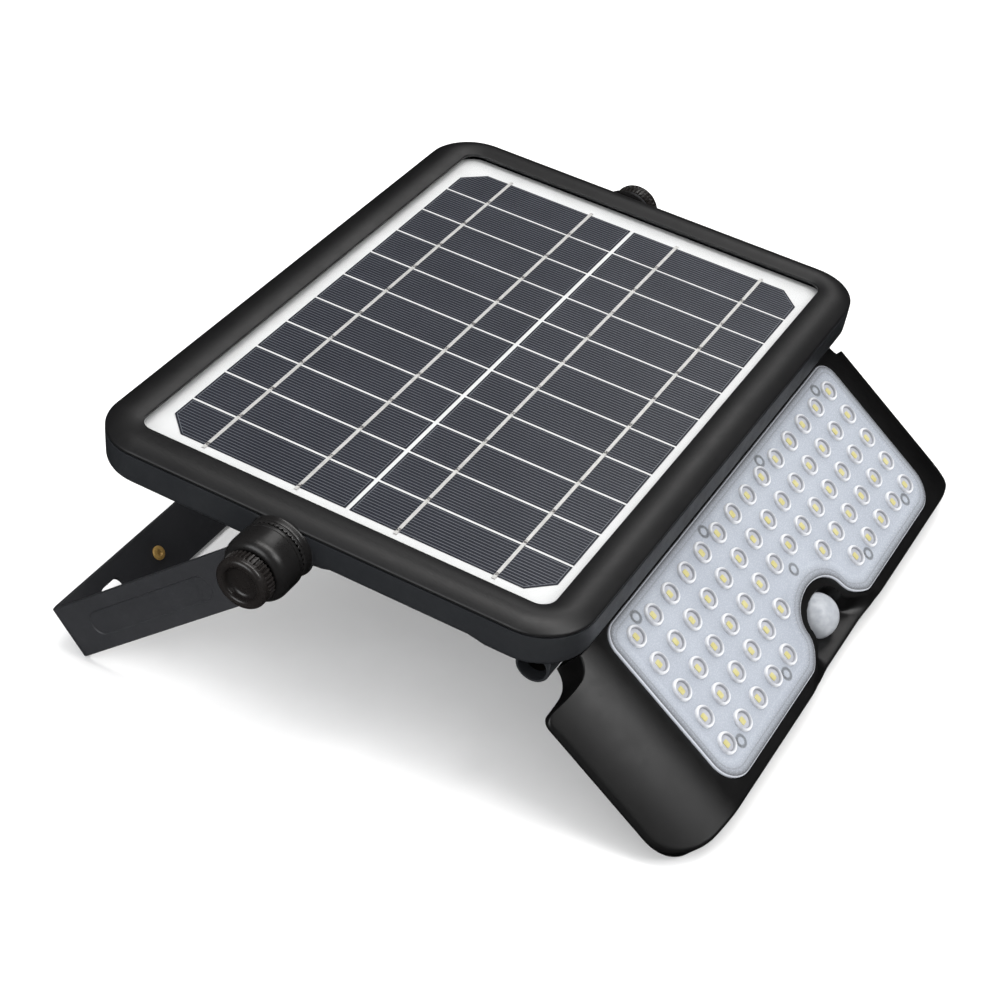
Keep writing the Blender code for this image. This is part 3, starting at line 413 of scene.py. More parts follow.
def shrink(outline, inset):
    """A closed outline moved inwards by its normals."""
    points = np.array(outline, float)
    ahead = np.roll(points, -1, 0) - points
    behind = points - np.roll(points, 1, 0)
    ahead /= np.linalg.norm(ahead, axis=1)[:, None] + 1e-12
    behind /= np.linalg.norm(behind, axis=1)[:, None] + 1e-12
    tangent = ahead + behind
    tangent /= np.linalg.norm(tangent, axis=1)[:, None] + 1e-12
    normal = np.stack([-tangent[:, 1], tangent[:, 0]], 1)
    area = np.sum(points[:, 0] * np.roll(points[:, 1], -1) - np.roll(points[:, 0], -1) * points[:, 1])
    if area < 0:
        normal = -normal
    miter = np.clip(np.sum(ahead * tangent, 1), 0.5, 1.0)
    inset = np.asarray(inset, float)
    return points + normal * (inset / miter)[:, None]


def block(name, low, high, edge=0.0):
    outline = [(low[0], low[1]), (high[0], low[1]), (high[0], high[1]), (low[0], high[1])]
    return prism(name, outline, low[2], high[2], "Z", edge)


def turned(name, profile, sides, axis="Z", centre=(0.0, 0.0), closed=False):
    """A turned solid from (radius, height) pairs."""
    angles = 2.0 * math.pi * (np.arange(sides) + 0.5) / sides
    x, y = centre
    rings = [[on_axis(axis, x + radius * math.cos(a), y + radius * math.sin(a), height) for a in angles]
             for radius, height in profile]
    return skin(name, rings, closed)


def turned_at(name, profile, sides, spots):
    return [turned(name, profile, sides, "Z", spot) for spot in spots]


def sideways(name, profile, sides, side, centre):
    """A solid turned about X at one side, from (radius, distance) pairs."""
    return turned(name, [(radius, x * side) for radius, x in profile], sides, "X", centre)


def shift(x, y, z):
    return Matrix.Translation(Vector((x, y, z)) * MM)


def bow(centre, half, degrees):
    """Points of an ellipse at the given degrees."""
    angles = [math.radians(value) for value in degrees]
    return [(centre[0] + half[0] * math.cos(a), centre[1] + half[1] * math.sin(a)) for a in angles]


def arc(centre, radius, first, last, steps):
    angles = np.radians(np.linspace(first, last, steps + 1))
    return [(centre[0] + radius * math.cos(a), centre[1] + radius * math.sin(a)) for a in angles]


def between(a, b, steps):
    """Points on the way from a to b, without the ends."""
    return [tuple(np.array(a) + (np.array(b) - np.array(a)) * i / steps) for i in range(1, steps)]


def loop(half_x, half_y, radius, corner=12, side=1):
    x, y = half_x - radius, half_y - radius
    points = arc((x, y), radius, 0, 90, corner)
    points += between((x, half_y), (-x, half_y), side) + arc((-x, y), radius, 90, 180, corner)
    points += between((-half_x, y), (-half_x, -y), side) + arc((-x, -y), radius, 180, 270, corner)
    points += between((-x, -half_y), (x, -half_y), side) + arc((x, -y), radius, 270, 360, corner)
    return points + between((half_x, -y), (half_x, y), side)


def level(half_x, half_y, radius, z, corner=12, side=1):
    return [(x, y, z) for x, y in loop(half_x, half_y, radius, corner, side)]


def stadium(length, height, centre=(0.0, 0.0), steps=16):
    reach = (length - height) / 2.0
    points = arc((reach, 0.0), height / 2.0, -90, 90, steps)
    points += arc((-reach, 0.0), height / 2.0, 90, 270, steps)
    return [(x + centre[0], y + centre[1]) for x, y in points]


def joined(name, pieces):
    """Several closed shapes in one mesh."""
    vertices, faces = [], []
    for piece in pieces:
        first = len(vertices)
        vertices += [tuple(vertex.co / MM) for vertex in piece.data.vertices]
        faces += [tuple(first + i for i in face.vertices) for face in piece.data.polygons]
        bpy.data.objects.remove(piece)
    return solid(name, vertices, faces)


def applied(obj):
    bpy.context.view_layer.update()
    graph = bpy.context.evaluated_depsgraph_get()
    made = bpy.data.meshes.new_from_object(obj.evaluated_get(graph))
    obj.modifiers.clear()
    obj.data = made
    return obj


def combine(target, tool, operation):
    step = target.modifiers.new(operation, "BOOLEAN")
    step.operation = operation
    step.solver = "EXACT"
    step.object = tool
    applied(target)
    bpy.data.objects.remove(tool)
    return target


def add(target, tool):
    return combine(target, tool, "UNION")


def cut(target, tool):
    return combine(target, tool, "DIFFERENCE")


def keep(target, tool):
    return combine(target, tool, "INTERSECT")


def bevel(obj, width, segments=3, angle=35.0):
    step = obj.modifiers.new("edges", "BEVEL")
    step.width = width * MM
    step.segments = segments
    step.limit_method = "ANGLE"
    step.angle_limit = math.radians(angle)
    step.harden_normals = False
    applied(obj)
    return obj


def finish(obj, place, body, look, slot, *nodes, smooth=34.0, flat=True):
    obj.matrix_world = place
    obj.data.materials.clear()
    obj.data.materials.append(MATERIALS[look])
    obj.data.name = obj.name
    obj.data.shade_smooth()
    obj.data.set_sharp_from_angle(angle=math.radians(smooth))
    if flat:
        step = obj.modifiers.new("normals", "WEIGHTED_NORMAL")
        step.keep_sharp = True
        step.weight = 80
    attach(obj, body)
    if nodes:
        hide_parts(*nodes)
    return obj


def sided(name, side):
    return name + ("_left" if side < 0 else "_right")


# Panel.


def make_bezel():
    profile = [(0.5, 2.3), (0.06, 2.4), (0.0, 2.7), (0.0, 3.25), (0.06, 3.5), (0.22, 3.66)]
    for out in np.linspace(0.5, 5.8, 10):
        profile.append((out, CROWN - 1.06 * ((5.8 - out) / 5.3) ** 2.0))
    for out in np.linspace(6.4, 13.05, 13):
        profile.append((out, CROWN - 2.75 * ((out - 5.8) / 7.3) ** 1.9))
    profile += [(13.32, 1.86), (13.5, 1.6), (13.6, 1.3), (13.6, 1.0), (13.52, 0.84), (13.36, 0.8)]
    profile += [(12.8, 0.8), (12.7, 1.1), (10.4, 1.1), (10.0, 2.3)]
    rings = []
    for out, z in profile:
        share = out / (PANEL_X - OPENING_X)
        grow = out + (PANEL_Y - OPENING_Y - PANEL_X + OPENING_X) * share
        corner = OPENING_CORNER + (PANEL_CORNER - OPENING_CORNER) * share
        rings.append(level(OPENING_X + out, OPENING_Y + grow, corner, z, 24, 12))
    bezel = skin("bezel_frame", rings, closed=True)
    finish(bezel, PANEL, "panel_housing", "bezel", "black_plastic", "front_bezel", smooth=50.0)
    seal = [(1.5, 0.2), (1.3, 0.5), (1.5, 0.8), (5.0, 0.8), (5.0, 0.2)]
    seal = skin("bezel_seal", [panel_ring(inset, z) for inset, z in seal], closed=True)
    finish(seal, PANEL, "panel_housing", "rubber", "rubber_black", "bezel_gasket")


def make_panel_sheets():
    pane = prism("panel_pane", loop(GLASS_X, GLASS_Y, 8.0, 8), 0.2, 2.0, "Z", 0.15)
    finish(pane, PANEL, "panel_housing", "pane", "clear_sheet", "panel_glass")
    sheet = prism("panel_backsheet", loop(GLASS_X, GLASS_Y, 8.0, 8), -1.75, -0.26, "Z", 0.1)
    finish(sheet, PANEL, "panel_housing", "backsheet", "white_sheet", "solar_backsheet")


def cell_x(row):
    return (row - (CELL_ROWS - 1) / 2.0) * CELL_PITCH


def cell_outline(row, side, inset=0.0):
    x = cell_x(row)
    low, high = x - CELL_WIDTH / 2.0 + inset, x + CELL_WIDTH / 2.0 - inset
    inner, outer = CELL_INNER + inset, CELL_OUTER - inset
    chamfer = CELL_CHAMFER - inset * 0.59
    outline = [(low, inner), (high, inner)]
    outline += [(high, outer - chamfer), (high - chamfer, outer)] if row == CELL_ROWS - 1 else [(high, outer)]
    outline += [(low + chamfer, outer), (low, outer - chamfer)] if row == 0 else [(low, outer)]
    return [(a, b * side) for a, b in outline]


def strip(name, a, b, width, low, high):
    """A flat bar from a to b."""
    a, b = Vector(a), Vector(b)
    across = (b - a).normalized().orthogonal() * width / 2.0
    return prism(name, [a - across, b - across, b + across, a + across], low, high)


def make_cells(side):
    cells, prints = [], []
    for row in range(CELL_ROWS):
        cells.append(prism("cell", cell_outline(row, side), -0.25, 0.0))
        border = cell_outline(row, side, PRINT_INSET)
        for i, a in enumerate(border):
            prints.append(strip("border", a, border[(i + 1) % len(border)], 0.22, -0.02, 0.012))
        centre = cell_x(row)
        for i in range(FINGERS):
            x = centre + (i - (FINGERS - 1) / 2.0) * FINGER_PITCH
            outer = CELL_OUTER - PRINT_INSET
            if row in (0, CELL_ROWS - 1):
                reach = (x - centre) * (1 if row else -1) - (CELL_WIDTH / 2.0 - CELL_CHAMFER)
                outer -= max(0.0, reach + 0.4)
            start_point, end_point = (x, (CELL_INNER + PRINT_INSET) * side), (x, outer * side)
            prints.append(strip("finger", start_point, end_point, 0.26, -0.02, 0.01))
    cells = joined(sided("cells", side), cells)
    finish(cells, PANEL, "panel_housing", "cells", "solar_cell", sided("cell_string", side), flat=False)
    prints = joined(sided("cell_print", side), prints)
    finish(prints, PANEL, "panel_housing", "finger", "solar_cell", flat=False)
    reach = CELL_PITCH * (CELL_ROWS - 1) / 2.0 + CELL_WIDTH / 2.0 + 1.8
    ribbons = []
    for y in RIBBON_Y:
        low, high = (-reach, y * side - 0.7, -0.2), (reach, y * side + 0.7, 0.14)
        ribbons.append(block("ribbon", low, high, 0.12))
        for row in range(CELL_ROWS):
            x = cell_x(row) - CELL_WIDTH / 2.0
            low, high = (x + 0.1, y * side - 0.62, 0.05), (x + 1.8, y * side + 0.62, 0.2)
            ribbons.append(block("solder", low, high, 0.1))
    ribbons = joined(sided("ribbons", side), ribbons)
    finish(ribbons, PANEL, "panel_housing", "ribbon", "solar_cell", flat=False)


def raised_edge(point):
    """The housing's lower edge runs 1.5 mm higher on its near half."""
    x, y, z = point
    if abs(x) < 122.0 or z > -6.0:
        return point
    rise = min(1.0, max(0.0, (-y - 1.0) / 6.0)) * min(1.0, max(0.0, (y + 68.0) / 7.0))
    rise = rise * rise * (3.0 - 2.0 * rise)
    return (x, y, z + 1.4 * rise * min(1.0, (-6.0 - z) / 4.0))


def panel_ring(inset, z, side=1):
    """The panel's outline at a height, moved inwards."""
    return level(PANEL_X - inset, PANEL_Y - inset, PANEL_CORNER - inset, z, 20, side)


def make_belly():
    """The swelling over the batteries, with rounded lower edges."""
    rings = [level(79.4, 43.4, 6.4, -26.0, 6)]
    for angle in np.radians((70.0, 50.0, 30.0, 15.0, 0.0)):
        inset = 2.6 * (1.0 - math.cos(angle))
        rings.append(level(82.0 - inset, 46.0 - inset, 9.0 - inset, -23.4 - 2.6 * math.sin(angle), 6))
    rings.append(level(82.0, 46.0, 9.0, -12.0, 6))
    return skin("belly", rings)


def make_housing():
    rings = [level(PANEL_X - 14.0, PANEL_Y - 14.0, 9.0, -13.0, 20, 48)]
    for angle in np.radians(np.linspace(90.0, 0.0, 9)):
        rings.append(panel_ring(0.35 + 2.9 * (1.0 - math.cos(angle)), -10.1 - 2.9 * math.sin(angle), 48))
    walls = [(0.2, -7.0), (0.08, -4.0), (0.0, -1.0), (0.0, -0.1), (0.06, 0.08), (0.22, 0.15)]
    walls += [(1.2, 0.15), (1.2, -0.1), (2.2, -0.1), (2.5, -8.3), (4.2, -10.8)]
    rings += [panel_ring(inset, z, 48) for inset, z in walls]
    tray = skin("housing_shell", [[raised_edge(point) for point in ring] for ring in rings])
    add(tray, make_belly())
    cut(tray, prism("pocket", loop(72.0, 38.0, 3.0, 4), -24.5, -9.0))
    cut(tray, prism("rebate", loop(77.3, 41.3, 4.0, 6), -27.0, -23.7))
    for x in (-112.0, -96.0, 96.0, 112.0):
        add(tray, block("rib", (x - 0.7, -78.0, -14.4), (x + 0.7, 78.0, -12.0), 0.2))
    add(tray, block("hinge_step", (-114.0, -94.0, -11.5), (114.0, -73.5, -7.0)))
    for side in (-1, 1):
        add_boss(tray, side)
        add_lug(tray, side)
    cut(tray, turned("groove", [(7.3, -111.5), (7.3, 111.5)], 48, "X", HINGE))
    profile = [(3.2, -14.0), (3.2, -11.8), (1.5, -11.8), (1.5, -10.0)]
    seats = turned_at("seat", profile, 24, HOUSING_SCREWS)
    seats += turned_at("seat", [(1.5, -25.0), (1.5, -15.0)], 12, COVER_SCREWS)
    seats.append(turned("button_hole", [(7.4, -14.0), (6.3, -12.6), (6.1, -9.0)], 40, "Z", BUTTON))
    cut(tray, joined("seats", seats))
    finish(tray, PANEL, "panel_housing", "housing", "black_plastic", "back_housing", smooth=30.0)
    tray.data.materials.append(MATERIALS["cup"])
    for face in tray.data.polygons:
        x, y, z = face.center / MM
        if abs(x) > PANEL_X + 0.02 and math.hypot(y - PIVOT[0], z - PIVOT[1]) < 14.0:
            face.material_index = 1


def add_boss(tray, side):
    flare = [(7.9, 117.0), (8.2, 131.0), (13.2, 134.0), (12.9, 135.0), (12.6, 135.5), (12.5, 135.9)]
    if side < 0:
        flare += [(12.4, 136.6), (12.3, 137.4), (12.1, 137.7)]
    boss = sideways("boss", flare, 72, side, PIVOT)
    for reach, height in ((135.3, 0.15), (124.6, -2.1)):
        low, high = sorted((110.0 * side, reach * side))
        cut(boss, block("clearance", (low, PIVOT[0] - 20.0, height), (high, PIVOT[0] + 20.0, 20.0)))
    add(tray, boss)
    bore = [(5.8, 119.0), (5.8, 134.3), (3.8, 134.3), (3.8, 140.0)]
    cut(tray, sideways("bore", bore, 32, side, PIVOT))


def add_lug(tray, side):
    profile = [(5.9, 111.6), (6.5, 112.2), (6.5, 128.4), (6.3, 128.85), (5.9, 129.0)]
    lug = sideways("lug", profile, 48, side, HINGE)
    low, high = sorted((111.6 * side, 128.8 * side))
    add(lug, block("web", (low, HINGE[0] - 6.5, HINGE[1]), (high, HINGE[0] + 6.5, -12.3)))
    add(tray, lug)
    bore = [(2.3, 109.0), (2.3, 123.6), (5.2, 123.6), (5.4, 128.6), (5.8, 131.0)]
    cut(tray, sideways("bore", bore, 32, side, HINGE))


def screws(name, nodes, place, body, spots, z, size, turn=0):
    """Pan head screws with cross recesses; a shaft runs along +z from its spot, then is turned."""
    radius, head, shaft = size
    profile = [(0.35 * radius, -head), (0.72 * radius, -0.92 * head), (0.92 * radius, -0.66 * head)]
    profile += [(radius, -0.3 * head), (radius, 0.0), (1.15, 0.0), (1.15, shaft - 1.0), (0.5, shaft)]
    arm, width = radius * 0.62, radius * 0.15
    for number, (x, y) in enumerate(spots, start=1):
        made = turned("%s_%d" % (name, number), profile, 28)
        for reach, span in ((arm, width), (width, arm)):
            cut(made, block("cross", (-reach, -span, -head - 1.0), (reach, span, -head * 0.25)))
        local = shift(x, y, z) @ Matrix.Rotation(math.radians(turn), 4, "X")
        finish(made, place @ local, body, "steel", "steel", "%s_%d" % (nodes, number))


def make_housing_details():
    door = prism("battery_door", loop(77.0, 41.0, 3.7, 8), -26.0, -24.0, "Z", 0.3)
    profile = [(2.4, -27.0), (2.4, -25.0), (1.5, -25.0), (1.5, -23.0)]
    cut(door, joined("tools", turned_at("seat", profile, 24, COVER_SCREWS) + door_grooves()))
    finish(door, PANEL, "panel_housing", "under", "black_plastic", "battery_cover", smooth=30.0)
    screws("door_screw", "cover_screw", PANEL, "panel_housing", COVER_SCREWS, -25.3, (2.0, 0.6, 8.0))
    screws("shell_screw", "housing_screw", PANEL, "panel_housing", HOUSING_SCREWS, -12.1, (2.6, 0.8, 8.6))
    profile = [(1.2, -14.6), (3.4, -14.55), (4.6, -14.3), (5.2, -13.8), (5.7, -13.2), (5.7, -10.5)]
    profile += [(7.4, -10.5), (7.4, -9.3)]
    button = turned("button_cap", profile, 40, "Z", BUTTON)
    groove = [(2.6, -15.2), (2.6, -14.3), (3.1, -14.3), (3.1, -15.2)]
    cut(button, turned("ring", groove, 40, "Z", BUTTON, closed=True))
    finish(button, PANEL, "button", "rubber", "rubber_black", "power_button")


def door_grooves():
    """Finger grooves of the battery door, laid across it in two groups."""
    made = []
    for side in (-1, 1):
        for i in range(6):
            x = side * (42.0 + 3.2 * i)
            outline = [(x + b, a) for a, b in stadium(36.0, 1.4, (0.0, 0.0), 8)]
            made.append(prism("groove", outline, -26.6, -25.5))
    return made


def tooth(count, sharp=3.0):
    """A rounded tooth wave round a ring, from 0 to 1."""
    return lambda angle: min(1.0, max(0.0, 0.5 + sharp * 0.5 * math.cos(angle * count)))


def toothed(name, rows, sides, side, centre=(0.0, 0.0), closed=False):
    """A turned solid about X from rows of (radius, height, radius wave, height wave)."""
    rings = []
    for radius, height, *waves in rows:
        sink, lift = (*waves, None, None)[:2]
        ring = []
        for i in range(sides):
            angle = 2.0 * math.pi * i / sides
            r = radius - (sink(angle) if sink else 0.0)
            x = height + (lift(angle) if lift else 0.0)
            ring.append((x * side, centre[0] + r * math.cos(angle), centre[1] + r * math.sin(angle)))
        rings.append(ring)
    return skin(name, rings, closed)


def detent(angle):
    """The height of the detent teeth round a pivot."""
    return 0.45 * tooth(DETENT_TEETH)(angle)


def make_pivot_ring(side):
    foot, top = (138.0, 138.9) if side < 0 else (136.2, 136.5)
    rows = [(7.5, foot), (12.0, foot), (12.35, foot + 0.15), (12.35, top), (12.2, top + 0.15, None, detent)]
    rows += [(11.2, top + 0.15, None, detent), (11.0, top - 0.1), (7.5, top - 0.1)]
    ring = toothed(sided("tooth_ring", side), rows, DETENT_SIDES, side, PIVOT, closed=True)
    finish(ring, PANEL, "panel_housing", "cup", "black_plastic", sided("detent_ring", side))


def make_hinge_screw(side):
    profile = [(2.0, -26.5), (2.0, 0.0), (4.4, 0.0), (4.4, 0.9), (4.1, 1.5), (3.2, 1.9), (1.0, 2.0)]
    pin = turned(sided("hinge_screw", side), profile, 32)
    cut(pin, turned("hex", [(1.55, 0.8), (1.55, 4.0)], 6))
    turn = Matrix.Rotation(math.radians(90.0 * side), 4, "Y")
    place = PANEL @ shift(123.8 * side, *HINGE) @ turn
    finish(pin, place, "panel_housing", "dark_steel", "steel", sided("hinge_pin", side))


# Bracket.


def make_bracket():
    left, right, y = BEND - LEFT_ARM_X, RIGHT_ARM_X - BEND, WEB - BEND
    small = BEND - STRIP
    outer = [(-LEFT_ARM_X, -12.0)] + arc((left, y), BEND, 180, 90, 14)
    outer += arc((right, y), BEND, 90, 0, 14) + [(RIGHT_ARM_X, -12.0)]
    inner = [(STRIP - LEFT_ARM_X, -12.0)] + arc((left, y), small, 180, 90, 14)
    inner += arc((right, y), small, 90, 0, 14) + [(RIGHT_ARM_X - STRIP, -12.0)]
    bar = prism("bracket_strap", outer + inner[::-1], -HALF_WIDTH, HALF_WIDTH)
    view = [(0.0, HALF_WIDTH + 1.0)] + arc((0.0, 0.0), HALF_WIDTH - 0.001, 90, 270, 32)
    view += [(0.0, -HALF_WIDTH - 1.0), (WEB + 5.0, -HALF_WIDTH - 1.0), (WEB + 5.0, HALF_WIDTH + 1.0)]
    keep(bar, prism("view", view, -160.0, 160.0, "X"))
    tools = [turned("stud_hole", [(3.8, -155.0), (3.8, 155.0)], 40, "X")]
    near, far = WEB - 11.8, WEB + 3.2
    tools.append(turned("centre_hole", [(4.2, near), (4.2, far)], 40, "Y", (WEB_CENTRE, 0.0)))
    for side in (-1, 1):
        slot = stadium(SLOT_LENGTH, SLOT_HEIGHT, (WEB_CENTRE + SLOT_REACH * side, 0.0))
        tools.append(prism("slot", slot, near, far, "Y"))
        spot = (WEB_CENTRE + INSERT_REACH * side, 0.0)
        tools.append(turned("insert_hole", [(2.2, near), (2.2, far)], 24, "Y", spot))
    cut(bar, joined("holes", tools))
    bevel(bar, 0.32, 3)
    for side in (-1, 1):
        cut(bar, recess_tool(side))
    finish(bar, BRACKET, "bracket", "powder", "powder_coat", "mounting_bracket", smooth=50.0, flat=False)
    flatten(bar)


def recess_tool(side):
    """A shallow stadium with sloping walls in an arm's outer face."""
    face = LEFT_ARM_X if side < 0 else RIGHT_ARM_X
    rings = []
    for grow, x in ((0.0, face - RECESS_DEPTH), (0.5, face + 0.02), (0.5, face + 3.0)):
        outline = stadium(RECESS_LENGTH + 2.0 * grow, RECESS_HEIGHT + 2.0 * grow, (RECESS_CENTRE, 0.0), 20)
        rings.append([(x * side, a, b) for a, b in outline])
    return skin("recess", rings)


def flatten(obj):
    """Flat shading for the faces square to the object's own axes."""
    for face in obj.data.polygons:
        if max(abs(value) for value in face.normal) > 0.9998:
            face.use_smooth = False


def make_web_insert(side):
    profile = [(0.3, -0.35), (0.9, -0.4), (1.25, -0.7), (1.45, -0.86), (2.3, -0.86), (2.7, -0.7)]
    profile += [(2.9, -0.35), (2.9, 0.0), (1.9, 0.0), (1.9, 2.8)]
    insert = turned(sided("brass_insert", side), profile, 40)
    for x, y in ((1.1, 0.14), (0.14, 1.1)):
        cut(insert, block("cross", (-x, -y, -2.0), (x, y, -0.3)))
    spot = BRACKET @ shift(WEB_CENTRE + INSERT_REACH * side, WEB - STRIP - 0.3, 0.0)
    place = spot @ Matrix.Rotation(math.radians(-90.0), 4, "X")
    finish(insert, place, "bracket", "brass", "brass", sided("web_insert", side))


def make_collar():
    """The flat collar between the right arm and its knob."""
    profile = [(3.8, 140.2), (9.1, 140.2), (9.5, 140.32), (9.6, 140.5), (9.6, 140.75), (9.5, 140.92)]
    profile += [(9.2, 141.0), (3.8, 141.0)]
    collar = turned("clamp_cup_right", profile, 96, "X", closed=True)
    finish(collar, BRACKET, "bracket", "cup", "black_plastic", "pivot_cup_right")


def make_cup():
    """The tall cup over the left arm's end, seated round the arm."""
    rows = [(3.8, 140.4), (11.0, 140.4), (11.2, 140.0, None, detent), (12.5, 140.0, None, detent)]
    rows += [(12.85, 140.6), (13.0, 141.2), (13.0, 142.0), (12.75, 142.12), (12.75, 142.4), (13.0, 142.52)]
    rows += [(13.0, x) for x in (143.6, 145.2, 146.8, 148.5)]
    rows += bow((9.9, 148.5), (3.1, 4.4), (12, 24, 36, 48, 60, 72, 82, 90))
    rows += [(9.4, 152.8), (9.2, 152.1), (3.8, 152.1)]
    cup = toothed("clamp_cup_left", rows, DETENT_SIDES, -1, closed=True)
    half = HALF_WIDTH + SEAT_GAP
    seat = arc((0.0, 0.0), half, 90, 270, 32) + [(30.0, -half), (30.0, half)]
    low, high = -LEFT_ARM_X - SEAT_GAP, STRIP - LEFT_ARM_X + SEAT_GAP
    cut(cup, prism("seat", seat, low, high, "X"))
    finish(cup, BRACKET, "bracket", "cup", "black_plastic", "pivot_cup_left", smooth=40.0)


def make_knob(side):
    ribs = tooth(KNOB_RIBS, 2.2)
    wave = lambda depth: (lambda angle: depth * (1.0 - ribs(angle)))
    rows = [(8.6, 153.3), (8.8, 153.6), (9.8, 153.7, wave(0.4)), (10.2, 153.95, wave(0.85))]
    rows += [(10.2, 157.0, wave(0.85)), (10.2, 157.5, wave(0.5)), (10.2, 157.8)]
    rows += bow((8.4, 158.5), (1.8, 1.9), np.linspace(10, 90, 9))
    rows += [(7.9, 160.36), (7.4, 160.25), (7.0, 160.0), (6.7, 159.6), (6.5, 159.1)]
    rows += bow((4.3, 159.0), (2.2, -1.7), (15, 30, 45, 60, 75, 90)) + [(3.0, 157.2), (1.0, 157.12)]
    inset = RIGHT_KNOB_INSET if side > 0 else 0.0
    rows = [(radius, height - inset, *waves) for radius, height, *waves in rows]
    knob = toothed(sided("grip_knob", side), rows, KNOB_RIBS * 12, side)
    name = sided("knob", side)
    finish(knob, BRACKET, name + "_unit", "knob", "black_plastic", name, smooth=45.0)


# Lamp head.


def along(points, count):
    """A polyline resampled to count + 1 evenly spaced points."""
    points = np.array(points, float)
    steps = np.linalg.norm(np.diff(points, axis=0), axis=1)
    reach = np.concatenate([[0.0], np.cumsum(steps)])
    spots = np.linspace(0.0, reach[-1], count + 1)
    return np.stack([np.interp(spots, reach, points[:, i]) for i in (0, 1)], 1)


def smoothed(points, passes):
    points = np.array(points, float)
    for _ in range(passes):
        middle = (points[:-2] + 2.0 * points[1:-1] + points[2:]) / 4.0
        points[1:-1] = middle
    return points


SPANS = (34, 26, 40, 24, 34, 56)


def whole(parts):
    """The closed outline from its right half's spans, as (x, s) points."""
    right = [parts[0]] + [part[1:] for part in parts[1:]]
    right = np.concatenate(right)
    left = right[-2:0:-1] * np.array([-1.0, 1.0])
    return np.concatenate([right, left])


def head_outline():
    """The lamp head's outline, necked down at its rear corners where the hinge lugs sit."""
    neck = [(NECK_X, HEAD_BACK), (113.8, 10.4), (114.6, 12.2), (116.0, 14.0), (118.2, 15.5), (121.0, 16.3)]
    neck += [(124.5, 16.6), (128.0, 16.7), (130.8, 16.7)]
    neck += [(HEAD_X - 3.4 + 3.4 * math.sin(a), WING_BACK - 3.4 * math.cos(a))
             for a in np.radians([10, 25, 40, 55, 70, 80])]
    neck = smoothed(along(neck + [(HEAD_X, WING_BACK)], 60), 3)
    x, s = HEAD_X - HEAD_CORNER, HEAD_FRONT - HEAD_CORNER
    corner = arc((x, s), HEAD_CORNER, 0, 90, 24)
    parts = [along([(0.0, HEAD_BACK), (NECK_X, HEAD_BACK)], SPANS[0]), along(neck, SPANS[1])]
    parts += [along([(HEAD_X, WING_BACK), (HEAD_X, s)], SPANS[2]), along(corner, SPANS[3])]
    parts += [along([(x, HEAD_FRONT), (NOTCH_MOUTH, HEAD_FRONT)], SPANS[4])]
    parts += [along([(NOTCH_MOUTH, HEAD_FRONT), (0.0, HEAD_FRONT)], SPANS[5])]
    return whole(parts)


def notch_curve():
    """The lens cover's notch from its mouth to its middle, as (x, s) points."""
    points = [(NOTCH_MOUTH, LENS_FRONT), (30.0, LENS_FRONT)]
    for share in np.linspace(1.0, 0.0, 30):
        points.append((17.0 + 11.0 * share * share, 71.7 + 10.4 * share))
    points += bow((0.0, 71.7), (17.0, -11.0), np.linspace(3.0, 90.0, 30))
    points = smoothed(along(points, 120), 30)
    points[-1][0] = 0.0
    return points


NOTCH = notch_curve()


def lens_outline():
    a, b = LENS_REAR_CORNER, LENS_FRONT_CORNER
    angles = np.radians(np.linspace(0, 90, 17))
    rear = [(LENS_X - a + a * math.sin(t), LENS_BACK + a - a * math.cos(t)) for t in angles]
    fore = arc((LENS_X - b, LENS_FRONT - b), b, 0, 90, 16)
    parts = [along([(0.0, LENS_BACK), rear[0]], SPANS[0]), along(rear, SPANS[1])]
    parts += [along([rear[-1], fore[0]], SPANS[2]), along(fore, SPANS[3])]
    parts += [along([fore[-1], (NOTCH_MOUTH, LENS_FRONT)], SPANS[4]), along(NOTCH, SPANS[5])]
    return whole(parts)


def smooth_step(value, low, high):
    share = np.clip((value - low) / (high - low), 0.0, 1.0)
    return share * share * (3.0 - 2.0 * share)


def wing_height(x):
    share = np.clip((np.abs(x) - HEAD_FLAT_X) / (HEAD_X - HEAD_FLAT_X), 0.0, 1.1)
    return HEAD_TOP - (HEAD_TOP - WING_EDGE) * share ** 1.7


def notch_depth(points):
    """How far points (x, s) lie inside the notch's outline, which flares on to the front edge."""
    line = np.concatenate([[(46.0, 92.0), (38.0, 86.5), (33.5, 83.6)], NOTCH[12:]])
    x = np.abs(points[:, 0])
    a, b = line[:-1], line[1:]
    step = b - a
    p = np.stack([x, points[:, 1]], 1)[:, None, :]
    share = np.clip(np.sum((p - a) * step, 2) / np.sum(step * step, 1), 0.0, 1.0)
    gap = np.min(np.linalg.norm(p - (a + share[:, :, None] * step), axis=2), 1)
    order = np.argsort(line[:, 1])
    half = np.interp(points[:, 1], line[order, 1], line[order, 0])
    inside = (x < half) & (points[:, 1] > 60.9)
    return np.where(inside, gap, 0.0)


def head_height(points):
    height = wing_height(points[:, 0])
    depth = notch_depth(points)
    s = points[:, 1]
    floor = SCOOP_FLOOR + 3.6 * smooth_step(s, 79.0, 88.5)
    width = 1.0 + 0.62 * np.clip(s - 73.0, 0.0, 20.0)
    ledge = LEDGE - 2.6 * smooth_step(s, 74.0, 82.0)
    share = smooth_step(depth, ledge, ledge + width)
    return height - (HEAD_TOP - floor) * share


def lifted(points, heights):
    """(x, s) points and heights as points of the head's frame."""
    heights = np.broadcast_to(np.asarray(heights, float), (len(points),))
    return np.stack([points[:, 0], -points[:, 1], heights], 1)


def round_over(values, passes=40):
    for _ in range(passes):
        values = (np.roll(values, 1) + 2.0 * values + np.roll(values, -1)) / 4.0
    return values


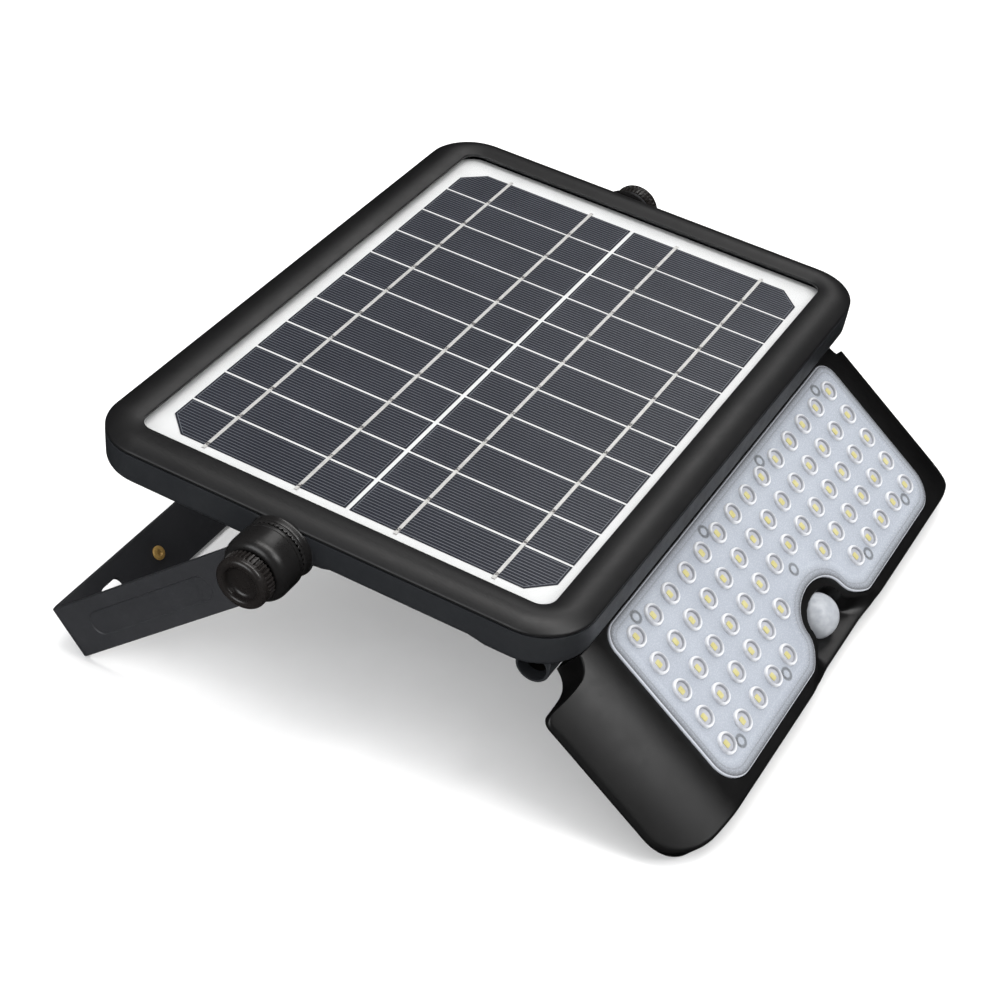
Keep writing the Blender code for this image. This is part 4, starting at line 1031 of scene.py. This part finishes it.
def make_head_shell():
    outer, lens = head_outline(), lens_outline()
    radius = np.full(len(outer), 0.5)
    radius[(np.abs(outer[:, 0]) > 132.0) & (outer[:, 1] > 20.0)] = 1.3
    radius[outer[:, 1] > 80.0] = 1.2
    radius = round_over(radius, 12)
    rebate = shrink(lens, -0.3)
    edge = shrink(outer, radius)
    rings = []
    for u in np.linspace(0.0, 1.0, 58):
        ring = rebate + (edge - rebate) * u ** 1.35
        rings.append(lifted(ring, head_height(ring)))
    for degrees in (18.0, 36.0, 54.0, 72.0, 90.0):
        angle = math.radians(degrees)
        ring = shrink(outer, radius * (1.0 - math.sin(angle)))
        rings.append(lifted(ring, head_height(ring) - radius * (1.0 - math.cos(angle))))
    top = head_height(outer) - radius
    wall, window = shrink(outer, 2.5), shrink(lens, 2.6)
    rings += [lifted(outer, (top + HEAD_BOTTOM + 0.25) / 2.0), lifted(outer, HEAD_BOTTOM + 0.25)]
    rings += [lifted(shrink(outer, 0.25), HEAD_BOTTOM), lifted(shrink(outer, 2.3), HEAD_BOTTOM)]
    rings.append(lifted(wall, HEAD_BOTTOM + 0.2))
    for u in np.linspace(0.0, 1.0, 14):
        ring = wall + (window - wall) * u
        rings.append(lifted(ring, np.maximum(head_height(ring) - 2.2, -7.3)))
    shell = skin("head_body", rings + [lifted(window, 5.2), lifted(rebate, 5.2)], closed=True)
    profile = [(5.9, -111.2), (6.3, -110.8), (6.3, 110.8), (5.9, 111.2)]
    barrel = turned("barrel", profile, 64, "X")
    neck = [(0.0, -5.8), (0.0, 4.0), (-10.0, 4.0), (-10.0, -5.8)]
    add(barrel, prism("neck", neck, -107.7, 107.7, "X"))
    add(shell, barrel)
    for side in (-1, 1):
        cut(shell, sideways("bore", [(2.3, 96.0), (2.3, 115.0)], 24, side, (0.0, 0.0)))
    finish(shell, HEAD, "lamp_head", "head", "head_plastic", "head_shell", smooth=38.0)


def lamp_spots():
    spots = []
    for line in range(5):
        for column in range(-7, 7):
            x = (column + 0.5) * LAMP_PITCH_X
            missing = (line == 3 and abs(x) < 10.0) or (line == 4 and abs(x) < 25.0)
            if not missing:
                spots.append((x, -LAMP_LINE_ONE - line * LAMP_PITCH_S))
    return spots


def make_lens():
    lens = lens_outline()
    steps = [(0.9, 6.2), (0.15, 6.25), (0.0, 6.4), (0.0, 7.55), (0.1, 7.85), (0.4, 8.02), (0.8, 8.05)]
    steps += [(2.4, 8.0), (2.75, 7.86), (3.1, 7.84), (3.5, 7.95), (4.4, 8.1), (5.6, 8.18), (7.2, LENS_TOP)]
    rings = [lifted(shrink(lens, inset), height) for inset, height in steps]
    plate = skin("lens_plate", rings)
    values = np.full(len(plate.data.vertices), 9.0, np.float32)
    for i, (inset, height) in enumerate(steps):
        if height > 7.0 or inset == 0.0:
            values[i * len(lens):(i + 1) * len(lens)] = inset
    rim = plate.data.attributes.new("rim", "FLOAT", "POINT")
    rim.data.foreach_set("value", values)
    finish(plate, HEAD, "lamp_head", "plate", "lens_clear", "lens_cover", smooth=60.0, flat=False)
    domes, windows, chips = [], [], []
    bowl = [(4.35, -0.3), (4.35, 0.1), (4.3, 0.5), (4.15, 0.85), (3.9, 1.1), (3.6, 1.18), (3.35, 1.1)]
    bowl += [(3.2, 0.85), (3.1, 0.5), (3.0, 0.1), (2.95, -0.2), (3.2, -0.3)]
    pane = [(2.98, -0.25), (2.98, 0.1), (2.3, 0.2), (1.0, 0.26)]
    bowl, pane = ([(radius, LENS_TOP + height) for radius, height in line] for line in (bowl, pane))
    for x, y in lamp_spots():
        domes.append(turned("dome", bowl, 40, "Z", (x, y), closed=True))
        windows.append(turned("window", pane, 32, "Z", (x, y)))
        chip = loop_at(x - 0.45, y, 1.25, 1.45, 0.6)
        chips.append(prism("chip", chip, LENS_TOP + 0.1, LENS_TOP + 0.42, "Z", 0.1))
    pieces = (("lens_domes", domes, "dome", 60.0), ("lens_windows", windows, "window", 60.0),
              ("lamp_chips", chips, "chip", 34.0))
    for name, shapes, look, smooth in pieces:
        finish(joined(name, shapes), HEAD, "lamp_head", look, "lens_clear", smooth=smooth, flat=False)


def loop_at(x, y, half_x, half_y, radius):
    return [(a + x, b + y) for a, b in loop(half_x, half_y, radius, 4)]


def make_sensor():
    outer = arc((0.0, 0.0), SENSOR_RADIUS, 84.0, 0.0, 23)
    inner = [(0.88 * r, 0.88 * z) for r, z in reversed(outer)]
    profile = [(0.02, SENSOR_RADIUS)] + outer[1:] + [(SENSOR_RADIUS, -3.2), (0.88 * SENSOR_RADIUS, -3.2)]
    profile += inner[:-1] + [(0.02, 0.88 * SENSOR_RADIUS)]
    dome = turned("sensor_dome", profile, 72)
    place = HEAD @ shift(0.0, -SENSOR_S, SENSOR_BASE)
    finish(dome, place, "lamp_head", "sensor", "frosted", "pir_dome", smooth=60.0, flat=False)


def make_head_underside():
    outline = shrink(head_outline(), 2.8)
    points = [(max(-128.0, min(128.0, x)), -s) for x, s in outline]
    cover = prism("head_underside", points[::-1], HEAD_BOTTOM, HEAD_BOTTOM + 2.0)
    tools = turned_at("seat", [(2.9, -9.0), (2.9, -6.7), (1.5, -6.7), (1.5, -4.0)], 24, HEAD_SCREWS)
    tools.append(prism("field", loop_at(0.0, -48.0, 92.0, 27.0, 6.0), HEAD_BOTTOM - 1.0, HEAD_BOTTOM + 0.5))
    cut(cover, joined("tools", tools))
    for x in np.arange(-80.0, 81.0, 10.0):
        low, high = (x - 0.9, -72.0, HEAD_BOTTOM + 0.05), (x + 0.9, -24.0, HEAD_BOTTOM + 0.9)
        add(cover, block("rib", low, high, 0.15))
    finish(cover, HEAD, "lamp_head", "under", "head_plastic", "head_back_cover", smooth=30.0)
    screws("underside_screw", "head_screw", HEAD, "lamp_head", HEAD_SCREWS, -7.0, (2.5, 0.7, 7.5))
    screws("plate_screw", "board_screw", HEAD, "lamp_head", BOARD_SCREWS, 3.3, (2.5, 1.0, 5.0), 180)


KEPT_LOOKS = {
    "wrap": ["battery_cell_1", "battery_cell_2", "battery_cell_3"], "grey": ["battery_tray", "switch_body"],
    "board": ["charge_board"], "brass": ["pivot_insert_left", "pivot_insert_right"],
    "steel": ["knob_stud_left", "knob_stud_right", "pir_sensor"], "rubber": ["lens_gasket"],
    "board_white": ["led_board"],
}


def dress_kept_nodes():
    """The CAD nodes that stay, with their finishes."""
    for look, names in KEPT_LOOKS.items():
        for name in names:
            obj = frame["nodes"][name]
            if not obj.material_slots:
                obj.data.materials.append(MATERIALS[look])
            for slot in obj.material_slots:
                slot.material = MATERIALS[look]


# Stage: floor, camera and lights, in metres; the camera stands in the panel's frame.

FLOOR_RADIUS = 1300.0
LENS_MM, SENSOR_MM = 78.6, 36.0
CAMERA_PLACE = (-0.62775, -0.28188, 0.48492)
CAMERA_RIGHT, CAMERA_UP = (0.4794, -0.8700, 0.1121), (0.5117, 0.3808, 0.7702)
LIGHT_AIM = (0.0, -0.01, 0.06)
WORLD_STRENGTH = 1.15


def make_stage():
    count = 96
    angles = np.linspace(0, 2 * math.pi, count, endpoint=False)
    rings = [[(r * math.cos(a), r * math.sin(a), 0.0) for a in angles] for r in (FLOOR_RADIUS, 1.0)]
    faces = [(i, (i + 1) % count, count + (i + 1) % count, count + i) for i in range(count)]
    faces.append(tuple(range(count, 2 * count)))
    floor = solid("floor", rings[0] + rings[1], faces)
    material, tree, shader, place = start("floor_paper")
    fine = noise(tree, place, 60.0, 4.0)
    colour = mix(tree, vary(tree, fine), (0.80, 0.80, 0.80), (0.82, 0.82, 0.82))
    tree.links.new(colour, shader.inputs["Base Color"])
    settle(shader, {"Roughness": 0.9, "Specular IOR Level": 0.1})
    settle(shader, {"Emission Color": (1.0, 1.0, 1.0, 1.0), "Emission Strength": 0.1})
    floor.data.materials.append(material)
    floor.visible_glossy = False


def make_camera():
    camera = bpy.data.cameras.new("camera")
    camera.lens = LENS_MM
    camera.sensor_width = SENSOR_MM
    camera.clip_start, camera.clip_end = 0.01, 50.0
    obj = bpy.data.objects.new("camera", camera)
    bpy.context.scene.collection.objects.link(obj)
    right, up = Vector(CAMERA_RIGHT), Vector(CAMERA_UP)
    right.normalize()
    back = right.cross(up).normalized()
    up = back.cross(right)
    turn = Matrix((right, up, back)).transposed().to_4x4()
    obj.matrix_world = PANEL @ Matrix.Translation(Vector(CAMERA_PLACE)) @ turn
    bpy.context.scene.camera = obj


def softbox(name, toward, distance, size, radiance, tint=(1.0, 1.0, 1.0)):
    """A soft area light in the direction toward, facing the object's middle."""
    light = bpy.data.lights.new(name, "AREA")
    light.shape = "RECTANGLE"
    light.size, light.size_y = size
    light.energy = radiance * math.pi * size[0] * size[1]
    light.color = tint
    obj = bpy.data.objects.new(name, light)
    bpy.context.scene.collection.objects.link(obj)
    toward = Vector(toward).normalized()
    obj.location = Vector(LIGHT_AIM) + toward * distance
    obj.rotation_euler = toward.to_track_quat("Z", "Y").to_euler()
    return obj


def make_lights():
    world = bpy.data.worlds.new("studio")
    world.use_nodes = True
    settle(world.node_tree.nodes["Background"], {0: (1.0, 1.0, 1.0, 1.0), 1: WORLD_STRENGTH})
    bpy.context.scene.world = world
    world.cycles_visibility.glossy = False
    bpy.context.scene.view_settings.view_transform = "Standard"
    softbox("overhead", (0.02, -0.12, 0.99), 1.5, (0.5, 1.3), 6.0, (1.0, 0.985, 0.97))
    softbox("back", (0.69, 0.02, 0.72), 2.0, (0.9, 0.8), 2.9, (1.0, 0.99, 0.98))
    softbox("front", (-0.08, -0.72, 0.69), 1.6, (0.7, 0.6), 6.0)
    softbox("side", (-0.88, 0.25, 0.4), 1.8, (1.1, 0.9), 4.0, (0.97, 0.985, 1.0))


make_bezel()
make_panel_sheets()
for side in (-1, 1):
    make_cells(side)
    make_pivot_ring(side)
    make_hinge_screw(side)
    make_web_insert(side)
    make_knob(side)
make_cup()
make_collar()
make_housing()
make_housing_details()
make_bracket()
make_head_shell()
make_lens()
make_sensor()
make_head_underside()
dress_kept_nodes()
make_stage()
make_camera()
make_lights()
